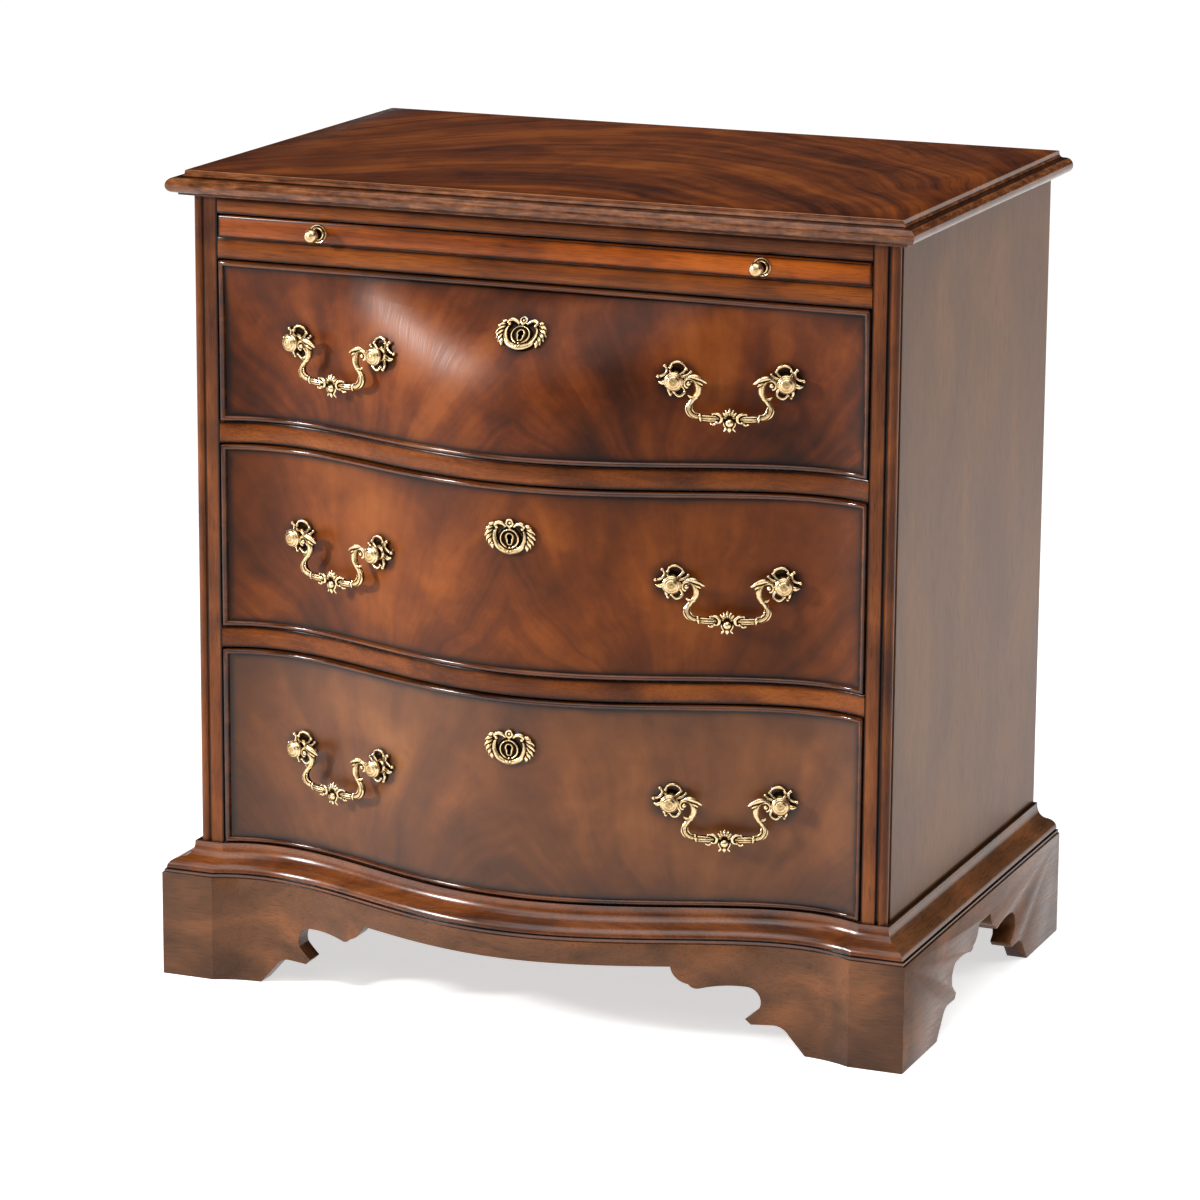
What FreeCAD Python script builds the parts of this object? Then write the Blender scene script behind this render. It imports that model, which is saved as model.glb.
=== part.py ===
"""Nightstand with a serpentine front, a pull-out slide and three drawers.

All sizes are in millimetres. Z is up, the front faces -Y, and the origin is
the middle of the footprint on the floor. Every board, moulding and fitting is
a separate solid, written to parts/NAME.step.
"""
import math
import os

import FreeCAD
import Part

V = FreeCAD.Vector

# The case
CASE_WIDTH = 670.0
CASE_DEPTH = 430.0
SIDE_THICKNESS = 18.0
STILE_WIDTH = 24.0
STILE_DEPTH = 38.0
BACK_THICKNESS = 8.0
BOTTOM_THICKNESS = 18.0

# The front, from the plinth upwards
PLINTH_HEIGHT = 98.0
MOULDING_HEIGHT = 27.0
DRAWER_3_OPENING = 186.0
DRAWER_2_OPENING = 171.5
DRAWER_1_OPENING = 149.5
SLIDE_OPENING = 21.5
RAIL_HEIGHT = 19.5
FRIEZE_HEIGHT = 16.0
TOP_THICKNESS = 22.0

# The serpentine curve: its bow in front of the stiles, and where it crosses
# the plane of the stiles on the way to the hollow
BOW = 55.0
BOW_HALF_WIDTH = 200.0

# The top board
TOP_OVERHANG = 18.6
TOP_BACK_OVERHANG = 8.0
NOSE_RADIUS = 7.0
TOP_STEP = 2.6
TOP_LIP = 1.5
TOP_FILLET = 2.0

# The corner bead on the stiles
BEAD_RADIUS = 4.5
QUIRK = 1.6
QUIRK_DEPTH = 2.6

# The base: projection of the plinth, and the moulding on it
BASE_PROJECTION = 27.0
PLINTH_THICKNESS = 20.0
MOULDING_FLAT = 4.0
MOULDING_LIP = 1.6
COVE_WIDTH = 10.0
COVE_HEIGHT = 14.0
MOULDING_STEP = 1.3
OVOLO_WIDTH = 8.5
OVOLO_HEIGHT = 7.0

# A bracket foot: how far it reaches along the board, and the apron above it.
# The scrolls are drawn as shares of that reach and of that height.
FOOT_REACH = 212.0
SIDE_FOOT_SHARE = 0.464
APRON_BOTTOM = 77.0
FOOT_SLOPE = ((0.448, 0.0), (0.519, 0.221))
FOOT_ANKLE = ((0.519, 0.221), (0.547, 0.299), (0.59, 0.331))
FOOT_TOE = ((0.59, 0.331), (0.679, 0.325), (0.703, 0.39))
FOOT_ARCHES = (
    ((0.703, 0.39), (0.67, 0.461), (0.644, 0.532)),
    ((0.644, 0.532), (0.653, 0.708), (0.708, 0.779)),
    ((0.708, 0.779), (0.802, 0.779), (0.887, 0.74)),
    ((0.887, 0.74), (0.91, 0.747), (0.929, 0.792)),
    ((0.929, 0.792), (0.976, 0.864), (1.0, 1.0)),
)
BACK_FOOT_WIDTH = 80.0
BACK_APRON_BOTTOM = 60.0
FOOT_BLOCK = 29.0
FOOT_BLOCK_LIFT = 2.0

# Rails and runners
RAIL_DEPTH = 60.0
TENON_END = 1.0
TENON_DEPTH = 16.0
TENON_SETBACK = 11.0
TENON_SHOULDER = 4.0
RUNNER_WIDTH = 40.0
GUIDE_HEIGHT = 28.0

# Clearances of what slides
GAP_TOP = 1.6
GAP_BOTTOM = 1.0
GAP_SIDE = 1.5
RUNNING_GAP = 0.3
GUIDE_GAP = 0.7
BACK_GAP = 1.0

# The slide
SLIDE_THICKNESS = 19.0
SLIDE_LIPPING = 22.0
SLIDE_GAP = 1.0
KNOB_OFFSET = 210.5
KNOB_PLATE_RADIUS = 9.2
KNOB_PLATE = 1.6
KNOB_HEAD_RADIUS = 7.2
KNOB_REACH = 22.0
KNOB_STUD_RADIUS = 2.5
KNOB_STUD = 14.0

# A drawer
FRONT_THICKNESS = 20.0
COCK_BEAD_WIDTH = 4.6
COCK_BEAD_PROUD = 3.0
DRAWER_SIDE = 12.0
DRAWER_SIDE_DROP = 10.0
DRAWER_BACK = 12.0
BOTTOM_BOARD = 6.0
BOTTOM_LIFT = 9.0
GROOVE = 5.0
BOTTOM_GAP = 0.5
TAIL_COUNT = 4
TAIL_LENGTH = 9.0
TAIL_FLARE = 2.0

# A handle: two posts, their roses and nuts, and the bail between them
POST_SPACING = 98.0
HANDLE_OFFSET = 186.0
HANDLE_SHARE = 0.53
POST_HEAD_RADIUS = 7.6
POST_HEAD_REACH = 16.0
POST_NECK_RADIUS = 4.2
POST_SHANK_RADIUS = 2.5
SHANK_CLEARANCE = 0.3
ROSE_RADIUS = 16.5
ROSE_LOBE_RADIUS = 4.4
ROSE_THICKNESS = 2.4
ROSE_GAP = 0.3
POST_FOOT = 4.6
NUT_RADIUS = 5.0
NUT_THICKNESS = 4.0
NUT_GAP = 1.4
PIVOT_REACH = 12.0
PIVOT_RADIUS = 1.5
PIVOT_CLEARANCE = 0.06
PIVOT_END = 0.8
BAIL_RADIUS = 3.1
BAIL_DROP = 30.5
BAIL_SHOULDER = 37.0
BAIL_WAIST = 27.5
BAIL_WAIST_DROP = 7.0
BAIL_SHOULDER_DROP = 20.5
BAIL_FOOT = 30.5
BAIL_SCROLL_RADIUS = 3.9
BAIL_SCROLL_THICKNESS = 7.0
BAIL_END_DROP = 1.2
BAIL_ELBOW = 37.5
BAIL_SCROLL_SET = 0.3
BAIL_SCROLL_DROP = 0.8
BAIL_WAIST_BEND = 4.0
BAIL_SHOULDER_BEND = 6.0
BAIL_FOOT_BEND = 7.0
BOSS_RADIUS = 8.0
BOSS_THICKNESS = 7.0
BOSS_DROP = 34.5
BOSS_BEVEL = 0.3
PENDANT_RADIUS = 2.2
PENDANT_THICKNESS = 4.0
LEAF_THICKNESS = 3.0
LEAF_OUTLINE = ((0.92, 0.065), (0.81, 0.092), (0.58, -0.027), (0.7, -0.19), (0.92, -0.108))

# A lock and its escutcheon
KEYHOLE_DROP_TOP = 34.0
KEYHOLE_DROP = 40.5
LOCK_WIDTH = 56.0
LOCK_HEIGHT = 54.0
LOCK_DEPTH = 12.0
LOCK_PROUD = 4.0
LOCK_SETBACK_1 = 6.0
BOLT_WIDTH = 16.0
BOLT_DEPTH = 5.0
BOLT_LENGTH = 20.0
BOLT_THROW = 8.0
BOLT_CLEARANCE = 0.3
BOLT_SINK = 1.0
MORTISE_SPARE = 1.0
KEYHOLE_RADIUS = 2.7
KEYHOLE_SLOT = 6.5
PLATE_HALF_WIDTH = 16.5
PLATE_HALF_HEIGHT = 14.0
PLATE_THICKNESS = 2.2
PLATE_GAP = 0.1
PLATE_BOSS_RADIUS = 7.5
PLATE_BOSS_HEIGHT = 2.0
SPRAY_OFFSET = 17.0
SPRAY_RADIUS = 8.5
SPRAY_DROP = 1.0
SCROLL_OFFSET = 12.5
SCROLL_RISE = 9.5
SCROLL_RADIUS = 6.2
PEARL_RISE = 14.5
PEARL_RADIUS = 3.8

# Places worked out from the sizes
DRAWER_OPENINGS = {1: DRAWER_1_OPENING, 2: DRAWER_2_OPENING, 3: DRAWER_3_OPENING}
KEYHOLE_DROPS = {1: KEYHOLE_DROP_TOP, 2: KEYHOLE_DROP, 3: KEYHOLE_DROP}
HALF_CASE = CASE_WIDTH / 2
HALF_OPENING = HALF_CASE - STILE_WIDTH
HALF_INSIDE = HALF_CASE - SIDE_THICKNESS
HALF_PLINTH = HALF_CASE + BASE_PROJECTION
FRONT_REACH = BASE_PROJECTION + BOW
Y_STILE = (FRONT_REACH - CASE_DEPTH - TOP_BACK_OVERHANG) / 2
Y_BACK = Y_STILE + CASE_DEPTH
Y_BACK_INSIDE = Y_BACK - BACK_THICKNESS
Y_PLINTH = Y_STILE - BASE_PROJECTION
Z_BASE = PLINTH_HEIGHT + MOULDING_HEIGHT
SERPENTINE_RATIO = (HALF_OPENING / BOW_HALF_WIDTH) ** 2
HALF_FACE = HALF_OPENING - GAP_SIDE
HALF_CORE = HALF_FACE - COCK_BEAD_WIDTH
HALF_DRAWER_INSIDE = HALF_CORE - DRAWER_SIDE
Y_DRAWER_SIDE = Y_STILE + FRONT_THICKNESS
Y_DRAWER_END = Y_BACK_INSIDE - BACK_GAP


def opening(number):
    """Bottom and top of a drawer opening; drawer 1 is the uppermost."""
    bottom = Z_BASE
    for lower in range(3, number, -1):
        bottom += DRAWER_OPENINGS[lower] + RAIL_HEIGHT
    return bottom, bottom + DRAWER_OPENINGS[number]


Z_SLIDE = opening(1)[1] + RAIL_HEIGHT
Z_FRIEZE = Z_SLIDE + SLIDE_OPENING
Z_TOP = Z_FRIEZE + FRIEZE_HEIGHT
HEIGHT = Z_TOP + TOP_THICKNESS


def box(x0, x1, y0, y1, z0, z1):
    return Part.makeBox(x1 - x0, y1 - y0, z1 - z0, V(x0, y0, z0))


def pair(x0, x1, y0, y1, z0, z1):
    """A box on the right and its mirror image on the left."""
    return [box(x0, x1, y0, y1, z0, z1), box(-x1, -x0, y0, y1, z0, z1)]


def mirrored(shape):
    return shape.mirror(V(0, 0, 0), V(1, 0, 0))


def joined(shapes):
    solid = shapes[0].multiFuse(shapes[1:])
    return solid.removeSplitter()


def bezier(poles):
    if len(poles) == 2:
        return Part.LineSegment(*poles).toShape()
    curve = Part.BezierCurve()
    curve.setPoles(poles)
    return curve.toShape()


def polyline(points):
    return [bezier(list(ends)) for ends in zip(points, points[1:])]


def face(edges):
    return Part.Face(Part.Wire(Part.__sortEdges__(edges)))


def patch(rows):
    """A smooth face with a grid of poles."""
    surface = Part.BezierSurface()
    surface.increase(len(rows) - 1, len(rows[0]) - 1)
    for i, row in enumerate(rows):
        for j, pole in enumerate(row):
            surface.setPole(i + 1, j + 1, pole)
    return surface.toShape()


def closed(faces):
    """A solid inside faces that meet edge to edge."""
    skin = Part.makeCompound(faces)
    skin.sewShape()
    solid = Part.makeSolid(skin.Shells[0])
    if solid.Volume < 0:
        solid.reverse()
    return solid


# The serpentine. Ahead of the stiles by BOW * (1 - u^2) * (1 - ratio * u^2),
# where u runs from -1 to 1 across the opening: a curve of five poles.

def ahead(x):
    u2 = (x / HALF_OPENING) ** 2
    return BOW * (1 - u2) * (1 - SERPENTINE_RATIO * u2)


def slope(x):
    u = x / HALF_OPENING
    rate = -2 * (1 + SERPENTINE_RATIO) * u + 4 * SERPENTINE_RATIO * u ** 3
    return BOW * rate / HALF_OPENING


def bend(x):
    u2 = (x / HALF_OPENING) ** 2
    return BOW * (12 * SERPENTINE_RATIO * u2 - 2 * (1 + SERPENTINE_RATIO)) / HALF_OPENING ** 2


def ahead_poles(half):
    r2 = (half / HALF_OPENING) ** 2
    second = (1 + SERPENTINE_RATIO) * r2
    fourth = SERPENTINE_RATIO * r2 ** 2
    end = 1 - second + fourth
    quarter = 1 - fourth
    middle = 1 + second / 3 + fourth
    return [BOW * pole for pole in (end, quarter, middle, quarter, end)]


def serpentine(half, y, z, share=1.0):
    poles = []
    for i, reach in enumerate(ahead_poles(half)):
        poles.append(V(half * (i / 2 - 1), y - share * reach, z))
    return poles


def serpentine_board(half, y_front, y_back, z0, z1, share=1.0):
    """A board with a serpentine front edge and a straight back edge."""
    front = serpentine(half, y_front, z0, share)
    corners = [front[-1], V(half, y_back, z0), V(-half, y_back, z0), front[0]]
    return face([bezier(front)] + polyline(corners)).extrude(V(0, 0, z1 - z0))


def serpentine_shell(half, y_front, y_back, z0, z1):
    """A board bent to the serpentine, the same thickness all along."""
    front = serpentine(half, y_front, z0)
    back = serpentine(half, y_back, z0)
    edges = [bezier(front), bezier(back)]
    edges += polyline([front[0], back[0]]) + polyline([front[-1], back[-1]])
    return face(edges).extrude(V(0, 0, z1 - z0))


def serpentine_moulding(profile, half):
    """A profile of (y, z) segments moved along the serpentine."""
    path = serpentine(half, 0, 0)
    faces = [patch([[p + V(0, y, z) for y, z in segment] for p in path]) for segment in profile]
    for end in (path[0], path[-1]):
        faces.append(face([bezier([end + V(0, y, z) for y, z in segment]) for segment in profile]))
    return closed(faces)


def profile_face(profile, place):
    """A flat face inside a profile; place makes a point of its pairs."""
    edges = [bezier([place(*point) for point in segment]) for segment in profile]
    return face(edges)


def segments(points):
    """Straight profile segments from point to point."""
    return [list(ends) for ends in zip(points, points[1:])]


# The case

def top_outline():
    """The moulded edge of the top, by projection and height, from below."""
    middle = TOP_OVERHANG - NOSE_RADIUS
    low = Z_TOP + TOP_FILLET
    high = low + 2 * NOSE_RADIUS
    arris = middle - TOP_FILLET - TOP_STEP
    shoulder = HEIGHT - TOP_LIP
    start = [(middle - TOP_FILLET, Z_TOP), (middle - TOP_FILLET, low), (middle, low)]
    nose = [(middle, low), (TOP_OVERHANG, low + NOSE_RADIUS), (middle, high)]
    ledge = [(middle, high), (arris + TOP_STEP, high)]
    cove = [(arris + TOP_STEP, high), (arris, high), (arris, shoulder)]
    lip = [(arris, shoulder), (arris, HEIGHT)]
    return start, nose, ledge, cove, lip


def top_edge(place):
    start, nose, ledge, cove, lip = top_outline()
    edges = polyline([place(*point) for point in start])
    edges.append(Part.Arc(*[place(*point) for point in nose]).toShape())
    edges.append(bezier([place(*point) for point in ledge]))
    edges.append(bezier([place(*point) for point in cove]))
    edges.append(bezier([place(*point) for point in lip]))
    return edges, place(*start[0]), place(*lip[-1])


def top_board():
    y_end = Y_BACK + TOP_BACK_OVERHANG
    reach = HALF_CASE + TOP_OVERHANG
    edges, low, high = top_edge(lambda n, z: V(-reach, Y_STILE - n, z))
    edges += polyline([high, V(-reach, y_end, HEIGHT), V(-reach, y_end, Z_TOP), low])
    along = face(edges).extrude(V(2 * reach, 0, 0))
    y_start = Y_STILE - TOP_OVERHANG
    right, low_r, high_r = top_edge(lambda n, z: V(HALF_CASE + n, y_start, z))
    left, low_l, high_l = top_edge(lambda n, z: V(-HALF_CASE - n, y_start, z))
    edges = right + left + polyline([high_l, high_r]) + polyline([low_l, low_r])
    across = face(edges).extrude(V(0, y_end - y_start, 0))
    return along.common(across)


def side_panel():
    y_front = Y_STILE + 2 * BEAD_RADIUS + QUIRK
    return box(HALF_INSIDE, HALF_CASE, y_front, Y_BACK, PLINTH_HEIGHT, Z_TOP)


def tenon(z0, z1):
    """The tenon at the right-hand end of a rail."""
    y0 = Y_STILE + TENON_SETBACK
    x1 = HALF_INSIDE - TENON_END
    z_low = z0 + TENON_SHOULDER
    z_high = z1 - TENON_SHOULDER
    return box(HALF_OPENING, x1, y0, y0 + TENON_DEPTH, z_low, z_high)


def rail_levels():
    levels = [(Z_FRIEZE, Z_TOP), (Z_SLIDE - RAIL_HEIGHT, Z_SLIDE)]
    for number in (2, 3):
        top = opening(number)[1]
        levels.append((top, top + RAIL_HEIGHT))
    return levels


def stile():
    """The right-hand stile, with its corner bead and its mortises."""
    post = box(HALF_OPENING, HALF_CASE, Y_STILE, Y_STILE + STILE_DEPTH, PLINTH_HEIGHT, Z_TOP)
    rounded = [edge for edge in post.Edges if is_corner(edge)]
    post = post.makeFillet(BEAD_RADIUS, rounded)
    x_bead = HALF_CASE - 2 * BEAD_RADIUS
    y_bead = Y_STILE + 2 * BEAD_RADIUS
    y_end = Y_STILE + STILE_DEPTH
    cuts = [box(x_bead - QUIRK, x_bead, Y_STILE, Y_STILE + QUIRK_DEPTH, Z_BASE, Z_TOP)]
    cuts.append(box(HALF_CASE - QUIRK_DEPTH, HALF_CASE, y_bead, y_bead + QUIRK, Z_BASE, Z_TOP))
    cuts.append(box(HALF_INSIDE, HALF_CASE, y_bead + QUIRK, y_end, PLINTH_HEIGHT, Z_TOP))
    cuts += [tenon(*level) for level in rail_levels()]
    return post.cut(Part.makeCompound(cuts))


def is_corner(edge):
    """True on the upright edge at the front corner of the case."""
    middle = edge.CenterOfMass
    return abs(middle.x - HALF_CASE) < 1e-6 and abs(middle.y - Y_STILE) < 1e-6


def with_tenons(rail, z0, z1):
    right = tenon(z0, z1)
    return joined([rail, right, mirrored(right)])


def straight_rail(z0, z1, depth):
    rail = box(-HALF_OPENING, HALF_OPENING, Y_STILE, Y_STILE + depth, z0, z1)
    return with_tenons(rail, z0, z1)


def drawer_rail(number):
    """The serpentine rail above drawer 2 or 3, mortised for its bolt."""
    z0 = opening(number)[1]
    z1 = z0 + RAIL_HEIGHT
    rail = serpentine_board(HALF_OPENING, Y_STILE, Y_STILE + RAIL_DEPTH, z0, z1)
    return with_tenons(rail, z0, z1).cut(bolt_mortise(number))


def slide_rail():
    z0 = opening(1)[1]
    return straight_rail(z0, Z_SLIDE, RAIL_DEPTH).cut(bolt_mortise(1))


def bottom_board():
    z0 = Z_BASE - BOTTOM_THICKNESS
    y_step = Y_STILE + STILE_DEPTH
    front = serpentine(HALF_OPENING, Y_STILE, z0)
    points = [front[-1]]
    points.append(V(HALF_OPENING, y_step, z0))
    points.append(V(HALF_INSIDE, y_step, z0))
    points.append(V(HALF_INSIDE, Y_BACK_INSIDE, z0))
    points.append(V(-HALF_INSIDE, Y_BACK_INSIDE, z0))
    points.append(V(-HALF_INSIDE, y_step, z0))
    points.append(V(-HALF_OPENING, y_step, z0))
    points.append(front[0])
    return face([bezier(front)] + polyline(points)).extrude(V(0, 0, BOTTOM_THICKNESS))


def back_panel():
    """The back, which stands on the plinth behind the bottom board."""
    return box(-HALF_INSIDE, HALF_INSIDE, Y_BACK_INSIDE, Y_BACK, PLINTH_HEIGHT, Z_TOP)


def runners():
    """Runners behind the rails, and kickers behind the frieze."""
    x0 = HALF_INSIDE - RUNNER_WIDTH
    y_kicker = Y_STILE + STILE_DEPTH
    solids = pair(x0, HALF_INSIDE, y_kicker, Y_BACK_INSIDE, Z_FRIEZE, Z_TOP)
    for z0, z1 in rail_levels()[1:]:
        solids += pair(x0, HALF_INSIDE, Y_STILE + RAIL_DEPTH, Y_BACK_INSIDE, z0, z1)
    return solids


def guides():
    """Strips beside the slide and the drawers that keep them straight."""
    y0 = Y_STILE + STILE_DEPTH
    x_slide = HALF_OPENING - SLIDE_GAP + GUIDE_GAP
    solids = pair(x_slide, HALF_INSIDE, y0, Y_BACK_INSIDE, Z_SLIDE, Z_FRIEZE)
    x_drawer = HALF_CORE + GUIDE_GAP
    for number in (1, 2, 3):
        z0 = opening(number)[0]
        solids += pair(x_drawer, HALF_INSIDE, y0, Y_BACK_INSIDE, z0, z0 + GUIDE_HEIGHT)
    return solids


# The base

def moulding_profile():
    """The base moulding by projection and height, as segments in a ring."""
    z = Z_BASE
    x_cove = MOULDING_FLAT + COVE_WIDTH
    z_lip = z - MOULDING_LIP
    z_cove = z_lip - COVE_HEIGHT
    z_step = z_cove - MOULDING_STEP
    x_step = x_cove + MOULDING_STEP
    x_end = x_step + OVOLO_WIDTH
    z_end = z_step - OVOLO_HEIGHT
    ring = segments([(0, z), (MOULDING_FLAT, z), (MOULDING_FLAT, z_lip)])
    ring.append([(MOULDING_FLAT, z_lip), (MOULDING_FLAT, z_cove), (x_cove, z_cove)])
    ring += segments([(x_cove, z_cove), (x_cove, z_step), (x_step, z_step)])
    ring.append([(x_step, z_step), (x_end, z_step), (x_end, z_end)])
    ring += segments([(x_end, z_end), (x_end, PLINTH_HEIGHT), (0, PLINTH_HEIGHT), (0, z)])
    return ring


def beside_mitre():
    """The space to the right of the right-hand mitre of the base."""
    span = CASE_DEPTH + CASE_WIDTH
    points = [V(HALF_CASE, Y_STILE, 0), V(HALF_CASE + span, Y_STILE - span, 0)]
    points.append(V(HALF_CASE + span, Y_STILE + span, 0))
    points.append(V(HALF_CASE - PLINTH_THICKNESS, Y_STILE + span, 0))
    points.append(V(HALF_CASE - PLINTH_THICKNESS, Y_STILE + PLINTH_THICKNESS, 0))
    points.append(points[0])
    return face(polyline(points)).extrude(V(0, 0, HEIGHT))


def front_moulding():
    profile = moulding_profile()
    turned = [[(Y_STILE - n, z) for n, z in segment] for segment in profile]
    middle = serpentine_moulding(turned, HALF_OPENING)
    section = profile_face(profile, lambda n, z: V(HALF_OPENING, Y_STILE - n, z))
    right = section.extrude(V(STILE_WIDTH + BASE_PROJECTION, 0, 0)).cut(beside_mitre())
    return joined([middle, right, mirrored(right)])


def side_moulding():
    y0 = Y_STILE - BASE_PROJECTION
    section = profile_face(moulding_profile(), lambda n, z: V(HALF_CASE + n, y0, z))
    return section.extrude(V(0, Y_BACK - y0, 0)).common(beside_mitre())


def foot_edges(reach, place):
    """One bracket foot, from the floor up its scrolls to the apron."""
    def at(point):
        return place(point[0] * reach, point[1] * APRON_BOTTOM)

    edges = polyline([at(point) for point in FOOT_SLOPE])
    edges += polyline([at(point) for point in FOOT_TOE])
    for arch in (FOOT_ANKLE,) + FOOT_ARCHES:
        edges.append(Part.Arc(*[at(point) for point in arch]).toShape())
    return edges, at(FOOT_SLOPE[0]), at(FOOT_ARCHES[-1][-1])


def apron_space(reach, place_one, place_two, sweep):
    """The space under an apron between two bracket feet."""
    one, low_one, high_one = foot_edges(reach, place_one)
    two, low_two, high_two = foot_edges(reach, place_two)
    edges = one + two + polyline([high_one, high_two]) + polyline([low_one, low_two])
    return face(edges).extrude(sweep)


def front_plinth():
    y1 = Y_PLINTH + PLINTH_THICKNESS
    middle = serpentine_shell(HALF_OPENING, Y_PLINTH, y1, 0, PLINTH_HEIGHT)
    right = box(HALF_OPENING, HALF_PLINTH, Y_PLINTH, y1, 0, PLINTH_HEIGHT).cut(beside_mitre())
    board = joined([middle, right, mirrored(right)])
    y0 = Y_PLINTH - 2 * BOW
    sweep = V(0, 4 * BOW, 0)
    space = apron_space(
        FOOT_REACH,
        lambda d, z: V(HALF_PLINTH - d, y0, z),
        lambda d, z: V(d - HALF_PLINTH, y0, z),
        sweep,
    )
    return board.cut(space)


def side_plinth():
    x0 = HALF_PLINTH - PLINTH_THICKNESS
    board = box(x0, HALF_PLINTH, Y_PLINTH, Y_BACK, 0, PLINTH_HEIGHT).common(beside_mitre())
    x_cut = x0 - PLINTH_THICKNESS
    sweep = V(3 * PLINTH_THICKNESS, 0, 0)
    space = apron_space(
        SIDE_FOOT_SHARE * (Y_BACK - Y_PLINTH),
        lambda d, z: V(x_cut, Y_PLINTH + d, z),
        lambda d, z: V(x_cut, Y_BACK - d, z),
        sweep,
    )
    return board.cut(space)


def back_plinth():
    x1 = HALF_PLINTH - PLINTH_THICKNESS
    y0 = Y_BACK - PLINTH_THICKNESS
    foot = x1 - BACK_FOOT_WIDTH
    apron = foot - BACK_APRON_BOTTOM
    points = [V(x1, y0, 0), V(x1, y0, PLINTH_HEIGHT), V(-x1, y0, PLINTH_HEIGHT), V(-x1, y0, 0)]
    points += [V(-foot, y0, 0), V(-apron, y0, BACK_APRON_BOTTOM)]
    points += [V(apron, y0, BACK_APRON_BOTTOM), V(foot, y0, 0), V(x1, y0, 0)]
    return face(polyline(points)).extrude(V(0, PLINTH_THICKNESS, 0))


def foot_blocks():
    x1 = HALF_PLINTH - PLINTH_THICKNESS
    y_front = Y_PLINTH + PLINTH_THICKNESS
    y_rear = Y_BACK - PLINTH_THICKNESS - FOOT_BLOCK
    solids = []
    for y0 in (y_front, y_rear):
        solids += pair(x1 - FOOT_BLOCK, x1, y0, y0 + FOOT_BLOCK, FOOT_BLOCK_LIFT, PLINTH_HEIGHT)
    return solids


# The slide

def slide_front():
    half = HALF_OPENING - SLIDE_GAP
    z0 = Z_SLIDE + RUNNING_GAP
    strip = box(-half, half, Y_STILE, Y_STILE + SLIDE_LIPPING, z0, z0 + SLIDE_THICKNESS)
    z = z0 + SLIDE_THICKNESS / 2
    holes = []
    for x in (-KNOB_OFFSET, KNOB_OFFSET):
        holes.append(Part.makeCylinder(KNOB_STUD_RADIUS, KNOB_STUD, V(x, Y_STILE, z), V(0, 1, 0)))
    return strip.cut(Part.makeCompound(holes))


def slide_board():
    half = HALF_OPENING - SLIDE_GAP
    y0 = Y_STILE + SLIDE_LIPPING
    z0 = Z_SLIDE + RUNNING_GAP
    return box(-half, half, y0, Y_DRAWER_END, z0, z0 + SLIDE_THICKNESS)


def turned(points, base, axis):
    """A solid turned from (reach, radius) points about an axis."""
    edges = polyline([V(radius, 0, reach) for reach, radius in points])
    edges += polyline([V(points[-1][1], 0, points[-1][0]), V(0, 0, points[-1][0])])
    edges += polyline([V(0, 0, points[-1][0]), V(0, 0, points[0][0])])
    edges += polyline([V(0, 0, points[0][0]), V(points[0][1], 0, points[0][0])])
    solid = face(edges).revolve(V(0, 0, 0), V(0, 0, 1), 360)
    turn = FreeCAD.Rotation(V(0, 0, 1), axis)
    solid.Placement = FreeCAD.Placement(base, turn)
    return solid


def slide_knobs():
    z = Z_SLIDE + RUNNING_GAP + SLIDE_THICKNESS / 2
    neck = KNOB_HEAD_RADIUS / 2
    centre = KNOB_REACH - KNOB_HEAD_RADIUS
    points = [(-KNOB_STUD, KNOB_STUD_RADIUS), (0, KNOB_STUD_RADIUS), (0, KNOB_PLATE_RADIUS)]
    points += [(KNOB_PLATE, KNOB_PLATE_RADIUS), (1.6 * KNOB_PLATE, 0.85 * KNOB_PLATE_RADIUS)]
    points += [(2 * KNOB_PLATE, 1.4 * neck), (3.4 * KNOB_PLATE, neck), (centre, neck)]
    solids = []
    for x in (-KNOB_OFFSET, KNOB_OFFSET):
        base = V(x, Y_STILE, z)
        stem = turned(points, base, V(0, -1, 0))
        head = Part.makeSphere(KNOB_HEAD_RADIUS, base + V(0, -centre, 0))
        solids.append(joined([stem, head]))
    return solids


# A drawer

def face_span(number):
    """Bottom and top of a drawer face, cock bead included."""
    bottom, top = opening(number)
    return bottom + GAP_BOTTOM, top - GAP_TOP


def core_span(number):
    bottom, top = face_span(number)
    return bottom + COCK_BEAD_WIDTH, top - COCK_BEAD_WIDTH


def share(number, z):
    """How much of the serpentine a drawer face has at a height."""
    if number != 1:
        return 1.0
    bottom, top = core_span(1)
    return 1 - ((z - bottom) / (top - bottom)) ** 3


def inner_share(number, z):
    """The same on the inside of a drawer front."""
    if number != 1:
        return 1.0
    bottom, top = core_span(1)
    t = (z - bottom) / (top - bottom)
    return 1 - 3 * t ** 2 + 2 * t ** 3


def share_slope(number, z):
    if number != 1:
        return 0.0
    bottom, top = core_span(1)
    return -3 * (z - bottom) ** 2 / (top - bottom) ** 3


def swelling_core():
    """The top drawer's front: straight above, serpentine below."""
    z0, z1 = core_span(1)
    heights = [z0 + (z1 - z0) * i / 3 for i in range(4)]
    skins = []
    for y, shares in ((Y_STILE, (1, 1, 1, 0)), (Y_DRAWER_SIDE, (1, 1, 0, 0))):
        columns = [serpentine(HALF_CORE, y, z, part) for z, part in zip(heights, shares)]
        skins.append([list(row) for row in zip(*columns)])
    faces = [patch(rows) for rows in skins]
    front, back = skins
    for end in (0, -1):
        edges = [bezier(front[end]), bezier(back[end])]
        edges += [bezier([front[end][0], back[end][0]]), bezier([front[end][-1], back[end][-1]])]
        faces.append(face(edges))
    for level in (0, -1):
        edges = [bezier([row[level] for row in skin]) for skin in skins]
        edges += [bezier([front[end][level], back[end][level]]) for end in (0, -1)]
        faces.append(face(edges))
    return closed(faces)


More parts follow.
